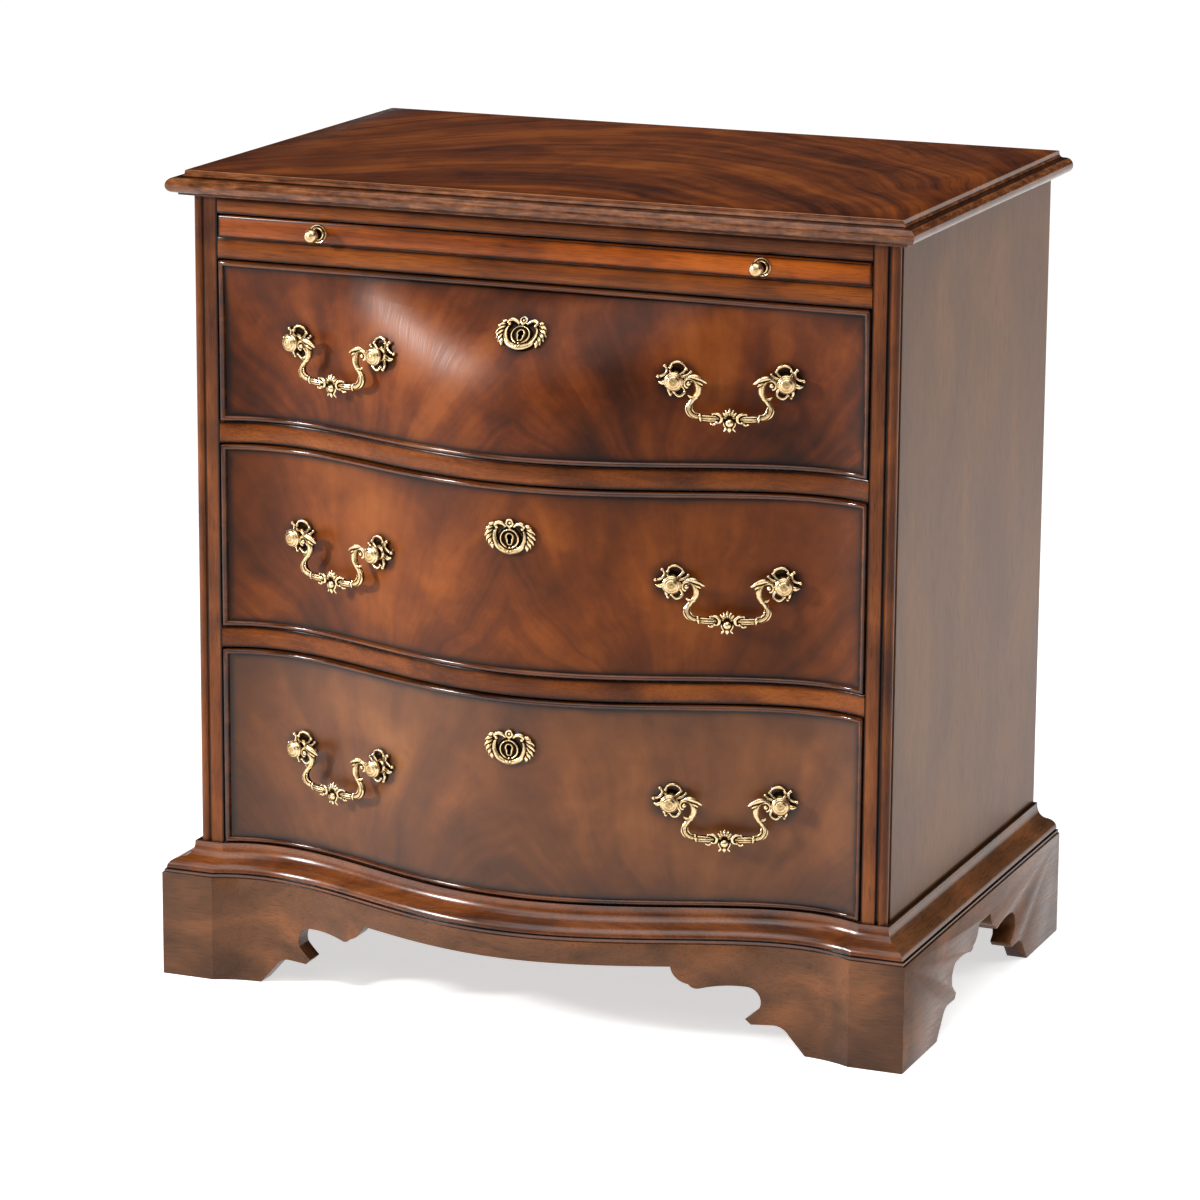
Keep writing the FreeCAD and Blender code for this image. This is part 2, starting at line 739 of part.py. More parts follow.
def drawer_core(number):
    if number == 1:
        return swelling_core()
    z0, z1 = core_span(number)
    return serpentine_shell(HALF_CORE, Y_STILE, Y_DRAWER_SIDE, z0, z1)


def tails(x0, x1, y_root, y_tip, z0, z1):
    """A row of dovetails from y_root, widening to y_tip."""
    pitch = (z1 - z0) / TAIL_COUNT
    solids = []
    for i in range(TAIL_COUNT):
        middle = z0 + pitch * (i + 0.5)
        root = pitch / 4
        tip = root + TAIL_FLARE
        points = [V(x0, y_root, middle - root), V(x0, y_tip, middle - tip)]
        points += [V(x0, y_tip, middle + tip), V(x0, y_root, middle + root)]
        points.append(points[0])
        solids.append(face(polyline(points)).extrude(V(x1 - x0, 0, 0)))
    return solids


def side_span(number):
    """Bottom and top of a drawer's sides."""
    bottom, top = opening(number)
    return bottom + RUNNING_GAP, top - DRAWER_SIDE_DROP


def side_tails(number):
    """The dovetails of a right-hand side, front and back."""
    z0, z1 = core_span(number)[0], side_span(number)[1]
    tip = Y_DRAWER_SIDE - TAIL_LENGTH
    x0, x1 = HALF_DRAWER_INSIDE, HALF_CORE
    front = tails(x0, x1, Y_DRAWER_SIDE, tip, z0, z1)
    rear = tails(x0, x1, Y_DRAWER_END - DRAWER_BACK, Y_DRAWER_END, back_foot(number), z1)
    return front, rear


def back_foot(number):
    """The drawer back stands on the bottom board."""
    return side_span(number)[0] + BOTTOM_LIFT + BOTTOM_BOARD


def drawer_sides(number):
    z0, z1 = side_span(number)
    front, rear = side_tails(number)
    y1 = Y_DRAWER_END - DRAWER_BACK
    board = box(HALF_DRAWER_INSIDE, HALF_CORE, Y_DRAWER_SIDE, y1, z0, z1)
    right = joined([board] + front + rear).cut(drawer_bottom(number))
    return [right, mirrored(right)]


def drawer_back(number):
    z0, z1 = back_foot(number), side_span(number)[1]
    y0 = Y_DRAWER_END - DRAWER_BACK
    board = box(-HALF_CORE, HALF_CORE, y0, Y_DRAWER_END, z0, z1)
    rear = side_tails(number)[1]
    return board.cut(Part.makeCompound(rear + [mirrored(tail) for tail in rear]))


def drawer_bottom(number):
    z0 = side_span(number)[0] + BOTTOM_LIFT
    z1 = z0 + BOTTOM_BOARD
    half = HALF_DRAWER_INSIDE + GROOVE
    y0 = Y_DRAWER_SIDE + BOTTOM_GAP
    board = serpentine_board(half, y0, Y_DRAWER_END, z0, z1, inner_share(number, z1))
    ends = pair(HALF_DRAWER_INSIDE, HALF_CORE, Y_STILE, y0, z0, z1)
    return board.cut(Part.makeCompound(ends))


def drawer_front(number):
    core = drawer_core(number)
    z0, z1 = core_span(number)
    front = side_tails(number)[0]
    cuts = front + [mirrored(tail) for tail in front] + side_seats(z0, z1)
    cuts += [lock_block(number), keyhole(number, Y_STILE - 2 * BOW, lock_front(number))]
    for post in handle_posts(number):
        radius = POST_SHANK_RADIUS + SHANK_CLEARANCE
        span = 2 * (BOW + FRONT_THICKNESS)
        start = post["base"] - post["out"] * span / 2
        cuts.append(Part.makeCylinder(radius, span, start, post["out"]))
    return core.cut(Part.makeCompound(cuts))


def side_seats(z0, z1):
    """The flats against which the drawer sides stop."""
    y1 = Y_DRAWER_SIDE + RAIL_DEPTH
    return pair(HALF_DRAWER_INSIDE, HALF_FACE, Y_DRAWER_SIDE, y1, z0, z1)


def bead_profile(y0):
    """The section of a cock bead lying flat, from its foot at z = 0."""
    nose = y0 - COCK_BEAD_PROUD
    back = y0 + FRONT_THICKNESS
    round_start = nose + COCK_BEAD_WIDTH / 2
    middle = COCK_BEAD_WIDTH / 2
    top = COCK_BEAD_WIDTH
    ring = [[(round_start, 0), (nose, 0), (nose, middle)]]
    ring.append([(nose, middle), (nose, top), (round_start, top)])
    ring += segments([(round_start, top), (back, top), (back, 0), (round_start, 0)])
    return ring


def raised(profile, z):
    return [[(y, height + z) for y, height in segment] for segment in profile]


def cock_bead(number):
    """Four strips round a drawer face, mitred at the corners."""
    z0, z1 = face_span(number)
    low = serpentine_moulding(raised(bead_profile(Y_STILE), z0), HALF_FACE)
    z_top = z1 - COCK_BEAD_WIDTH
    high_profile = raised(bead_profile(Y_STILE), z_top)
    if number == 1:
        section = profile_face(high_profile, lambda y, z: V(-HALF_FACE, y, z))
        high = section.extrude(V(2 * HALF_FACE, 0, 0))
    else:
        high = serpentine_moulding(high_profile, HALF_FACE)
    y_end = Y_STILE - ahead(HALF_FACE - COCK_BEAD_WIDTH / 2)
    upright = profile_face(bead_profile(y_end), lambda y, w: V(HALF_FACE - w, y, z0))
    right = upright.extrude(V(0, 0, z1 - z0))
    span = 4 * BOW
    strips = [low.common(mitre_wedge(z0, 1, span)), high.common(mitre_wedge(z1, -1, span))]
    right = right.cut(Part.makeCompound([mitre_wedge(z0, 1, span), mitre_wedge(z1, -1, span)]))
    strips[0] = strips[0].cut(Part.makeCompound(side_seats(z0, z1)))
    strips[1] = strips[1].cut(bolt_channel(number))
    return strips + [right, mirrored(right)]


def mitre_wedge(z, up, span):
    """The space of a bead along the bottom (up = 1) or top (up = -1)."""
    y0 = Y_STILE - span
    rise = up * COCK_BEAD_WIDTH
    points = [V(-HALF_FACE, y0, z), V(HALF_FACE, y0, z)]
    points += [V(HALF_CORE, y0, z + rise), V(-HALF_CORE, y0, z + rise)]
    points.append(points[0])
    return face(polyline(points)).extrude(V(0, 2 * span, 0))


# Locks

def lock_front(number):
    """The front of a lock case, let into the back of the drawer front."""
    if number == 1:
        return Y_STILE + LOCK_SETBACK_1
    return Y_DRAWER_SIDE - BOW - LOCK_DEPTH + LOCK_PROUD


def keyhole_height(number):
    return core_span(number)[1] - KEYHOLE_DROPS[number]


def keyhole(number, y0, y1):
    z = keyhole_height(number)
    ward = box(-KEYHOLE_RADIUS / 2, KEYHOLE_RADIUS / 2, y0, y1, z - KEYHOLE_SLOT, z)
    bore = Part.makeCylinder(KEYHOLE_RADIUS, y1 - y0, V(0, y0, z), V(0, 1, 0))
    return joined([bore, ward])


def lock_block(number):
    y0 = lock_front(number)
    z1 = core_span(number)[1]
    return box(-LOCK_WIDTH / 2, LOCK_WIDTH / 2, y0, y0 + LOCK_DEPTH, z1 - LOCK_HEIGHT, z1)


def bolt_box(number, clearance, z0, z1):
    half = BOLT_WIDTH / 2 + clearance
    y = lock_front(number) + LOCK_DEPTH / 2
    depth = BOLT_DEPTH / 2 + clearance
    return box(-half, half, y - depth, y + depth, z0, z1)


def bolt_top(number):
    return face_span(number)[1] - BOLT_SINK


def bolt_channel(number):
    z1 = bolt_top(number)
    z0 = z1 - BOLT_LENGTH - BOLT_CLEARANCE
    return bolt_box(number, BOLT_CLEARANCE, z0, z1 + BOLT_SINK)


def bolt_mortise(number):
    z0 = opening(number)[1]
    return bolt_box(number, 2 * BOLT_CLEARANCE, z0, bolt_top(number) + BOLT_THROW + MORTISE_SPARE)


def lock_case(number):
    y0 = lock_front(number)
    key = keyhole(number, y0, y0 + LOCK_DEPTH / 2)
    return lock_block(number).cut(Part.makeCompound([bolt_channel(number), key]))


def lock_bolt(number):
    z1 = bolt_top(number)
    return bolt_box(number, 0, z1 - BOLT_LENGTH, z1)


# Brass on a drawer

def framed(shape, origin, right, up, out):
    """A shape drawn in x, y, z set on the axes right, up and out."""
    matrix = FreeCAD.Matrix(
        right.x, up.x, out.x, origin.x,
        right.y, up.y, out.y, origin.y,
        right.z, up.z, out.z, origin.z,
        0, 0, 0, 1,
    )
    turned_shape = shape.copy()
    turned_shape.Placement = FreeCAD.Placement(matrix).multiply(shape.Placement)
    return turned_shape


def surface_axes(number, x, z):
    """A point on a drawer face, with axes along it, up it and out of it."""
    part = share(number, z)
    point = V(x, Y_STILE - part * ahead(x), z)
    along = V(1, -part * slope(x), 0)
    up = V(0, -share_slope(number, z) * ahead(x), 1)
    out = up.cross(along) * -1
    if out.y > 0:
        out = out * -1
    out.normalize()
    along.normalize()
    return point, along, out.cross(along), out


def handle_height(number):
    bottom, top = face_span(number)
    return bottom + HANDLE_SHARE * (top - bottom)


def handle_axes(number, side):
    """The middle of a handle on its chord, and its axes along and out."""
    z = handle_height(number)
    part = share(number, z)
    reach = POST_SPACING / 2
    ends = []
    for way in (-1, 1):
        x = side * HANDLE_OFFSET + way * reach * math.cos(math.atan(part * slope(HANDLE_OFFSET)))
        ends.append(V(x, Y_STILE - part * ahead(x), z))
    along = ends[1] - ends[0]
    along.normalize()
    out = V(along.y, -along.x, 0)
    middle = (ends[0] + ends[1]) / 2
    return middle, along, out


def handle_posts(number):
    """The four posts of a drawer: where each stands, and which way is inward."""
    posts = []
    for side in (-1, 1):
        middle, along, out = handle_axes(number, side)
        for way in (-1, 1):
            base = middle + along * (way * POST_SPACING / 2)
            posts.append({"base": base, "inward": along * -way, "out": out})
    return posts


def post_and_nut(number, post):
    base, out, inward = post["base"], post["out"], post["inward"]
    inside = FRONT_THICKNESS + back_excess(number, base)
    shank = inside + NUT_GAP + NUT_THICKNESS
    points = [(-shank, POST_SHANK_RADIUS), (POST_FOOT, POST_SHANK_RADIUS)]
    points += [(POST_FOOT, POST_NECK_RADIUS), (POST_HEAD_REACH, POST_NECK_RADIUS)]
    stem = turned(points, base, out)
    head = Part.makeSphere(POST_HEAD_RADIUS, base + out * POST_HEAD_REACH)
    pivot = base + out * PIVOT_REACH
    depth = POST_NECK_RADIUS + POST_HEAD_RADIUS
    start = pivot - inward * (PIVOT_END / 2)
    bore = Part.makeCylinder(PIVOT_RADIUS + PIVOT_CLEARANCE, depth, start, inward)
    nut_base = base - out * (inside + NUT_GAP)
    nut = Part.makeCylinder(NUT_RADIUS, NUT_THICKNESS, nut_base, out * -1)
    hole = Part.makeCylinder(POST_SHANK_RADIUS, NUT_THICKNESS, nut_base, out * -1)
    return [joined([stem, head]).cut(bore), nut.cut(hole)]


def back_excess(number, base):
    """How much thicker the top drawer's front is at a post than elsewhere."""
    growth = share(number, base.z) - inner_share(number, base.z)
    return max(0.0, growth * ahead(base.x))


def posts_and_nuts(number):
    solids = []
    for post in handle_posts(number):
        solids += post_and_nut(number, post)
    return solids


def rose(number, post):
    """A lobed plate on the drawer face under a post."""
    base = post["base"]
    point, along, up, out = surface_axes(number, base.x, base.z)
    hollow = max(0.0, bend(base.x)) * ROSE_RADIUS ** 2 / 2
    body = [Part.makeCylinder(ROSE_RADIUS - ROSE_LOBE_RADIUS, ROSE_THICKNESS)]
    for i in range(6):
        angle = math.radians(60 * i + 30)
        ring = ROSE_RADIUS - ROSE_LOBE_RADIUS
        centre = V(ring * math.cos(angle), ring * math.sin(angle), 0)
        body.append(Part.makeCylinder(ROSE_LOBE_RADIUS, ROSE_THICKNESS, centre))
    plate = framed(joined(body), point + out * (hollow + ROSE_GAP), along, up, out)
    span = 4 * ROSE_RADIUS
    radius = POST_SHANK_RADIUS + SHANK_CLEARANCE
    return plate.cut(Part.makeCylinder(radius, span, base - post["out"] * span / 2, post["out"]))


def roses(number):
    return [rose(number, post) for post in handle_posts(number)]


def rounded_path(points, radii):
    """A wire through points in a plane, its corners rounded."""
    edges = []
    start = points[0]
    for before, corner, after, radius in zip(points, points[1:], points[2:], radii):
        back = before - corner
        ahead_way = after - corner
        back.normalize()
        ahead_way.normalize()
        half = back.getAngle(ahead_way) / 2
        run = radius / math.tan(half)
        middle_way = back + ahead_way
        middle_way.normalize()
        middle = corner + middle_way * (radius / math.sin(half) - radius)
        enter = corner + back * run
        leave = corner + ahead_way * run
        edges += [bezier([start, enter]), Part.Arc(enter, middle, leave).toShape()]
        start = leave
    edges.append(bezier([start, points[-1]]))
    return Part.Wire(edges)


def bail_shape():
    """A bail hanging from its pivots, drawn along x, up y and out z."""
    half = [V(BAIL_SHOULDER, -BAIL_END_DROP, 0), V(BAIL_WAIST, -BAIL_WAIST_DROP, 0)]
    half += [V(BAIL_ELBOW, -BAIL_SHOULDER_DROP, 0), V(BAIL_FOOT, -BAIL_DROP, 0)]
    left = [V(-point.x, point.y, 0) for point in half]
    bends = [BAIL_WAIST_BEND, BAIL_SHOULDER_BEND, BAIL_FOOT_BEND]
    path = rounded_path(left + half[::-1], bends + bends[::-1])
    start = left[0]
    way = left[1] - left[0]
    ring = Part.Wire(Part.makeCircle(BAIL_RADIUS, start, way))
    pieces = [path.makePipeShell([ring], True, False)]
    pivot_end = POST_SPACING / 2 - PIVOT_END
    for side in (-1, 1):
        scroll = V(side * (BAIL_SHOULDER - BAIL_SCROLL_SET), -BAIL_SCROLL_DROP, 0)
        pieces.append(disc(BAIL_SCROLL_RADIUS, BAIL_SCROLL_THICKNESS, scroll))
        length = pivot_end - BAIL_SHOULDER
        base = V(side * BAIL_SHOULDER, 0, 0)
        pieces.append(Part.makeCylinder(PIVOT_RADIUS, length, base, V(side, 0, 0)))
        pieces.append(bail_leaf(side))
    pieces.append(disc(BOSS_RADIUS, BOSS_THICKNESS, V(0, -BOSS_DROP, 0)))
    pieces.append(disc(PENDANT_RADIUS, PENDANT_THICKNESS, V(0, -BOSS_DROP - BOSS_RADIUS, 0)))
    return joined(pieces)


def disc(radius, thickness, centre):
    """A round boss in the bail's plane, its edges bevelled."""
    half = thickness / 2
    bevel = BOSS_BEVEL * thickness
    points = [(-half, radius - bevel), (bevel - half, radius)]
    points += [(half - bevel, radius), (half, radius - bevel)]
    return turned(points, centre, V(0, 0, 1))


def bail_leaf(side):
    z = -LEAF_THICKNESS / 2
    points = [V(side * u * BAIL_SHOULDER, v * BAIL_SHOULDER, z) for u, v in LEAF_OUTLINE]
    return face(polyline(points + points[:1])).extrude(V(0, 0, LEAF_THICKNESS))


def bail(number, side):
    middle, along, out = handle_axes(number, side)
    origin = middle + out * PIVOT_REACH
    return framed(bail_shape(), origin, along, V(0, 0, 1), out)


def escutcheon(number):
    z = keyhole_height(number)
    point, along, up, out = surface_axes(number, 0, z)
    round_plate = Part.makeCylinder(PLATE_HALF_HEIGHT, PLATE_THICKNESS)
    body = [round_plate, Part.makeCylinder(PLATE_BOSS_RADIUS, PLATE_THICKNESS + PLATE_BOSS_HEIGHT)]
    for side in (-1, 1):
        body.append(Part.makeCylinder(SPRAY_RADIUS, PLATE_THICKNESS, V(side * SPRAY_OFFSET, -SPRAY_DROP, 0)))
        centre = V(side * SCROLL_OFFSET, SCROLL_RISE, 0)
        body.append(Part.makeCylinder(SCROLL_RADIUS, PLATE_THICKNESS, centre))
    body.append(Part.makeCylinder(PEARL_RADIUS, PLATE_THICKNESS + PLATE_BOSS_HEIGHT / 2, V(0, PEARL_RISE, 0)))
    plate = framed(joined(body), point + out * PLATE_GAP, along, up, out)
    return plate.cut(keyhole(number, point.y - BOW, point.y + BOW))


# Everything by name

def parts():
    named = {
        "top_board": top_board(),
        "right_side_panel": side_panel(),
        "left_side_panel": mirrored(side_panel()),
        "right_stile": stile(),
        "left_stile": mirrored(stile()),
        "back_panel": back_panel(),
        "bottom_board": bottom_board(),
        "frieze_rail": straight_rail(Z_FRIEZE, Z_TOP, STILE_DEPTH),
        "slide_rail": slide_rail(),
        "upper_drawer_rail": drawer_rail(2),
        "lower_drawer_rail": drawer_rail(3),
        "drawer_runners": runners(),
        "drawer_guides": guides(),
        "front_base_moulding": front_moulding(),
        "right_base_moulding": side_moulding(),
        "left_base_moulding": mirrored(side_moulding()),
        "front_plinth": front_plinth(),
        "right_plinth": side_plinth(),
        "left_plinth": mirrored(side_plinth()),
        "back_plinth": back_plinth(),
        "foot_blocks": foot_blocks(),
        "slide_front": slide_front(),
        "slide_board": slide_board(),
        "slide_knobs": slide_knobs(),
    }
    for number in (1, 2, 3):
        drawer = f"drawer_{number}_"
        named[drawer + "front"] = drawer_front(number)
        named[drawer + "cock_bead"] = cock_bead(number)
        named[drawer + "sides"] = drawer_sides(number)
        named[drawer + "back"] = drawer_back(number)
        named[drawer + "bottom"] = drawer_bottom(number)
        named[drawer + "handle_posts"] = posts_and_nuts(number)
        named[drawer + "handle_roses"] = roses(number)
        named[drawer + "left_bail"] = bail(number, -1)
        named[drawer + "right_bail"] = bail(number, 1)
        named[drawer + "escutcheon"] = escutcheon(number)
        named[drawer + "lock_case"] = lock_case(number)
        named[drawer + "lock_bolt"] = lock_bolt(number)
    return named


def main():
    os.makedirs("parts", exist_ok=True)
    for name, shape in parts().items():
        if isinstance(shape, list):
            shape = Part.makeCompound(shape)
        shape.exportStep(f"parts/{name}.step")


if __name__ == "__main__":
    main()
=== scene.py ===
# %% [markdown]
# A mahogany nightstand with a serpentine front: a top with a moulded edge, a pull-out
# slide, three drawers with brass handles, and a moulded base on bracket feet.
# The CAD frame is loaded first, because every piece made here stands for one of its
# solids and moves with one of its bodies. Lengths on the piece are written in
# millimetres and turned into metres by MM; the camera and the studio are in metres.

# %% The frame
import math

import bmesh
import bpy
import numpy as np
from mathutils import Matrix, Vector


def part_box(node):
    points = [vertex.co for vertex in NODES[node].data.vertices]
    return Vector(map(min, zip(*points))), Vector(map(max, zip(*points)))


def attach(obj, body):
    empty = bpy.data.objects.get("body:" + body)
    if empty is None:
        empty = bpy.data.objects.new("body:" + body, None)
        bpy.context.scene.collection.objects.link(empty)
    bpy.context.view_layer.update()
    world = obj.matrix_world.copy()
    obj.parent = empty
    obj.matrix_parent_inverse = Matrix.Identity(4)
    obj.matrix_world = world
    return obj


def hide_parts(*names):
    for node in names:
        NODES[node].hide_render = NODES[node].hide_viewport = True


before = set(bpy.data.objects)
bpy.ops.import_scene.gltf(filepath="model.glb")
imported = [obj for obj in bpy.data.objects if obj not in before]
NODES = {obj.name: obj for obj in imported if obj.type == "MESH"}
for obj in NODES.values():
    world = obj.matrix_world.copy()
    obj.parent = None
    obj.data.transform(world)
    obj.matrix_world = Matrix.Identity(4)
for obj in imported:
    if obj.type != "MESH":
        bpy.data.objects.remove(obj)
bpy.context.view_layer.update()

MM = 0.001

# %% [markdown]
# The photograph was taken from the right and from above with a long lens, so the
# camera is set by its turn, its tilt and its small roll.
# The axes of the camera are written as the columns of its matrix.

# %% Camera
YAW, PITCH, ROLL = (math.radians(angle) for angle in (22.2258, 13.6336, 0.379))
CAMERA_PLACE = (1.657576, -4.081824, 1.414727)
LENS, SENSOR = 147.364, 36
level = Vector((math.cos(YAW), math.sin(YAW), 0))
sight = Vector((-math.sin(YAW) * math.cos(PITCH), math.cos(YAW) * math.cos(PITCH), -math.sin(PITCH)))
upright = level.cross(sight)
camera_x = level * math.cos(ROLL) + upright * math.sin(ROLL)
camera_y = upright * math.cos(ROLL) - level * math.sin(ROLL)
camera_data = bpy.data.cameras.new("camera")
camera_data.lens = LENS
camera_data.sensor_width = SENSOR
camera = bpy.data.objects.new("camera", camera_data)
bpy.context.scene.collection.objects.link(camera)
camera_turn = Matrix((camera_x, camera_y, -sight)).transposed()
camera.matrix_world = Matrix.Translation(CAMERA_PLACE) @ camera_turn.to_4x4()
bpy.context.scene.camera = camera
print("camera at", [round(c, 3) for c in camera.location])

# %% [markdown]
# Every material and every Geometry Nodes tree below is wired by the same few helpers.
# `add` makes a node, sets its properties and fills or links its inputs. `calc` makes a
# Math node and returns its result, so that a formula reads from the inside out.
# `wired` links a finish to its shader: colour, roughness and a bump.

# %% Node helpers
def fill(tree, node, inputs):
    for key, value in inputs.items():
        if isinstance(value, bpy.types.NodeSocket):
            tree.links.new(value, node.inputs[key])
        else:
            node.inputs[key].default_value = value


def add(tree, kind, inputs=None, **settings):
    node = tree.nodes.new(kind)
    for key, value in settings.items():
        setattr(node, key, value)
    fill(tree, node, inputs or {})
    return node


def calc(tree, operation, *values):
    inputs = {i: value for i, value in enumerate(values)}
    return add(tree, "ShaderNodeMath", inputs, operation=operation).outputs[0]


def ramp(tree, value, low, high, to_low=0.0, to_high=1.0):
    """A soft step: to_low below low, to_high above high."""
    inputs = {"Value": value, "From Min": low, "From Max": high, "To Min": to_low, "To Max": to_high}
    node = add(tree, "ShaderNodeMapRange", inputs, interpolation_type="SMOOTHSTEP")
    return node.outputs["Result"]


def clouds(tree, vector, scale, detail=3.0, roughness=0.5, distortion=0.0):
    inputs = {"Vector": vector, "Scale": scale, "Detail": detail, "Roughness": roughness}
    inputs["Distortion"] = distortion
    return add(tree, "ShaderNodeTexNoise", inputs).outputs["Fac"]


def mixed(tree, kind, factor, one, two):
    inputs = {0: factor, 6: one, 7: two}
    return add(tree, "ShaderNodeMix", inputs, data_type="RGBA", blend_type=kind).outputs[2]


def palette(tree, value, stops):
    """A colour ramp from (place, red, green, blue) stops."""
    node = add(tree, "ShaderNodeValToRGB", {"Fac": value})
    elements = node.color_ramp.elements
    while len(elements) < len(stops):
        elements.new(0.5)
    for element, stop in zip(elements, stops):
        element.position = stop[0]
        element.color = (*stop[1:], 1)
    return node.outputs["Color"]


def wired(material, colour, roughness, height, strength, distance):
    tree = material.node_tree
    bump = add(tree, "ShaderNodeBump", {"Strength": strength, "Distance": distance, "Height": height})
    shader = tree.nodes["Principled BSDF"]
    fill(tree, shader, {"Base Color": colour, "Roughness": roughness, "Normal": bump.outputs[0]})
    return shader


def turns(count):
    """The angles that divide a full turn evenly."""
    return [math.tau * i / count for i in range(count)]


print("node helpers ready")

# %% [markdown]
# The studio is plain: a wide pale floor that rises a little at its far rim, one soft box
# on the left, which gives the glow on the swelling of the top drawer, a large one
# overhead, one high in front and a fill from the right. The room itself is dim.
# The floor is white to the camera, and to polished wood and brass as well, by a glow
# that only those rays meet, so it throws no light on the piece and keeps its shadow.
# On a patch before the fronts, which they would mirror, the glow is weaker.

# %% Floor, room and lamps
scene = bpy.context.scene
scene.view_settings.view_transform = "Standard"
ROOM_LIGHT = 0.03
FLOOR_GREY = 0.86
GLOW_NEAR, GLOW_FAR = 0.62, 0.97
PATCH_PLACE, PATCH_GLOW = (0.1, -3.0, 0), 0.4
world = bpy.data.worlds.new("studio")
scene.world = world
world.use_nodes = True
room = world.node_tree.nodes["Background"]
room.inputs["Color"].default_value = (1, 1, 1, 1)
room.inputs["Strength"].default_value = ROOM_LIGHT

FLOOR_RINGS = [(17.0, 0.0), (18.5, 0.15), (19.5, 0.6), (20.0, 1.5)]
FLOOR_SIDES = 96
corners = [(0.0, 0.0, 0.0)]
for radius, rise in FLOOR_RINGS:
    for turn in turns(FLOOR_SIDES):
        corners.append((radius * math.cos(turn), radius * math.sin(turn), rise))
sectors = [(0, 1 + i, 1 + (i + 1) % FLOOR_SIDES) for i in range(FLOOR_SIDES)]
for ring in range(len(FLOOR_RINGS) - 1):
    inner, outer = 1 + ring * FLOOR_SIDES, 1 + (ring + 1) * FLOOR_SIDES
    for i in range(FLOOR_SIDES):
        k = (i + 1) % FLOOR_SIDES
        sectors.append((inner + i, outer + i, outer + k, inner + k))
floor_mesh = bpy.data.meshes.new("floor")
floor_mesh.from_pydata(corners, [], sectors)
floor_mesh.shade_smooth()
floor = bpy.data.objects.new("floor", floor_mesh)
scene.collection.objects.link(floor)
pale = bpy.data.materials.new("pale_floor")
pale.use_nodes = True
tree = pale.node_tree
rays = add(tree, "ShaderNodeLightPath").outputs
seen = calc(tree, "MAXIMUM", rays["Is Camera Ray"], rays["Is Transmission Ray"])
seen = calc(tree, "MAXIMUM", seen, rays["Is Glossy Ray"])
ground = add(tree, "ShaderNodeTexCoord").outputs["Object"]
away = add(tree, "ShaderNodeVectorMath", {0: ground}, operation="LENGTH").outputs["Value"]
patch = add(tree, "ShaderNodeVectorMath", {0: ground, 1: PATCH_PLACE}, operation="DISTANCE").outputs["Value"]
dimmed = ramp(tree, patch, 1.0, 2.4, PATCH_GLOW, 1.0)
glow = calc(tree, "MULTIPLY", dimmed, ramp(tree, away, 1.0, 6.0, GLOW_NEAR, GLOW_FAR))
glow = calc(tree, "MULTIPLY", glow, seen)
shader = tree.nodes["Principled BSDF"]
shader.inputs["Base Color"].default_value = (FLOOR_GREY, FLOOR_GREY, FLOOR_GREY, 1)
shader.inputs["Roughness"].default_value = 0.9
shader.inputs["Specular IOR Level"].default_value = 0.0
shader.inputs["Emission Color"].default_value = (1, 1, 1, 1)
tree.links.new(glow, shader.inputs["Emission Strength"])
floor_mesh.materials.append(pale)


def soft_box(name, place, target, width, height, power):
    """A lamp with a size in metres and a power in watts."""
    data = bpy.data.lights.new(name, "AREA")
    data.shape = "RECTANGLE"
    data.size = width
    data.size_y = height
    data.energy = power
    lamp = bpy.data.objects.new(name, data)
    scene.collection.objects.link(lamp)
    lamp.location = place
    lamp.rotation_euler = (Vector(target) - Vector(place)).to_track_quat("-Z", "Y").to_euler()


LAMPS = [
    ("left_soft_box", (-2.35, -2.0, 1.55), (-0.05, -0.2, 0.5), 0.34, 0.34, 90),
    ("overhead_soft_box", (0.3, -0.2, 3.1), (0, 0, 0.4), 3.4, 2.6, 58),
    ("front_soft_box", (0.1, -3.6, 3.8), (0, 0, 0.4), 5.0, 3.2, 98),
    ("right_fill", (2.6, 1.4, 1.5), (0.2, 0, 0.4), 1.6, 1.6, 38),
]
for lamp in LAMPS:
    soft_box(*lamp)

# %% [markdown]
# All the wood is polished mahogany, and its finishes share the same few layers: broad
# figure, fine fibre, short dark pores, and a darkening along edges and in corners,
# which is a finisher's stain on some boards and painted shade beside gaps and in grooves
# on others. Each layer is a noise stretched along the grain. The distance from a board's
# edge is worked out from Object coordinates, so the darkening needs no map.

# %% Wood layers
def blank_finish(name):
    material = bpy.data.materials.new(name)
    material.use_nodes = True
    tree = material.node_tree
    place = add(tree, "ShaderNodeTexCoord").outputs["Object"]
    return material, tree, place


def stretched(tree, place, scale, offset=0.0):
    inputs = {"Vector": place, "Scale": scale, "Location": (offset, offset, offset)}
    return add(tree, "ShaderNodeMapping", inputs).outputs[0]


def edge_distance(tree, place, limits):
    """How far a point is from its face's nearest edge; limits are (axis, low, high)."""
    parts = add(tree, "ShaderNodeSeparateXYZ", {0: place}).outputs
    normal = add(tree, "ShaderNodeTexCoord").outputs["Normal"]
    turned_to = add(tree, "ShaderNodeSeparateXYZ", {0: normal}).outputs
    distance = None
    for axis, low, high in limits:
        inside = calc(tree, "SUBTRACT", parts[axis], low)
        outside = calc(tree, "SUBTRACT", high, parts[axis])
        end_face = ramp(tree, calc(tree, "ABSOLUTE", turned_to[axis]), 0.8, 0.95)
        nearest = calc(tree, "ADD", calc(tree, "MINIMUM", inside, outside), end_face)
        distance = nearest if distance is None else calc(tree, "MINIMUM", distance, nearest)
    return distance


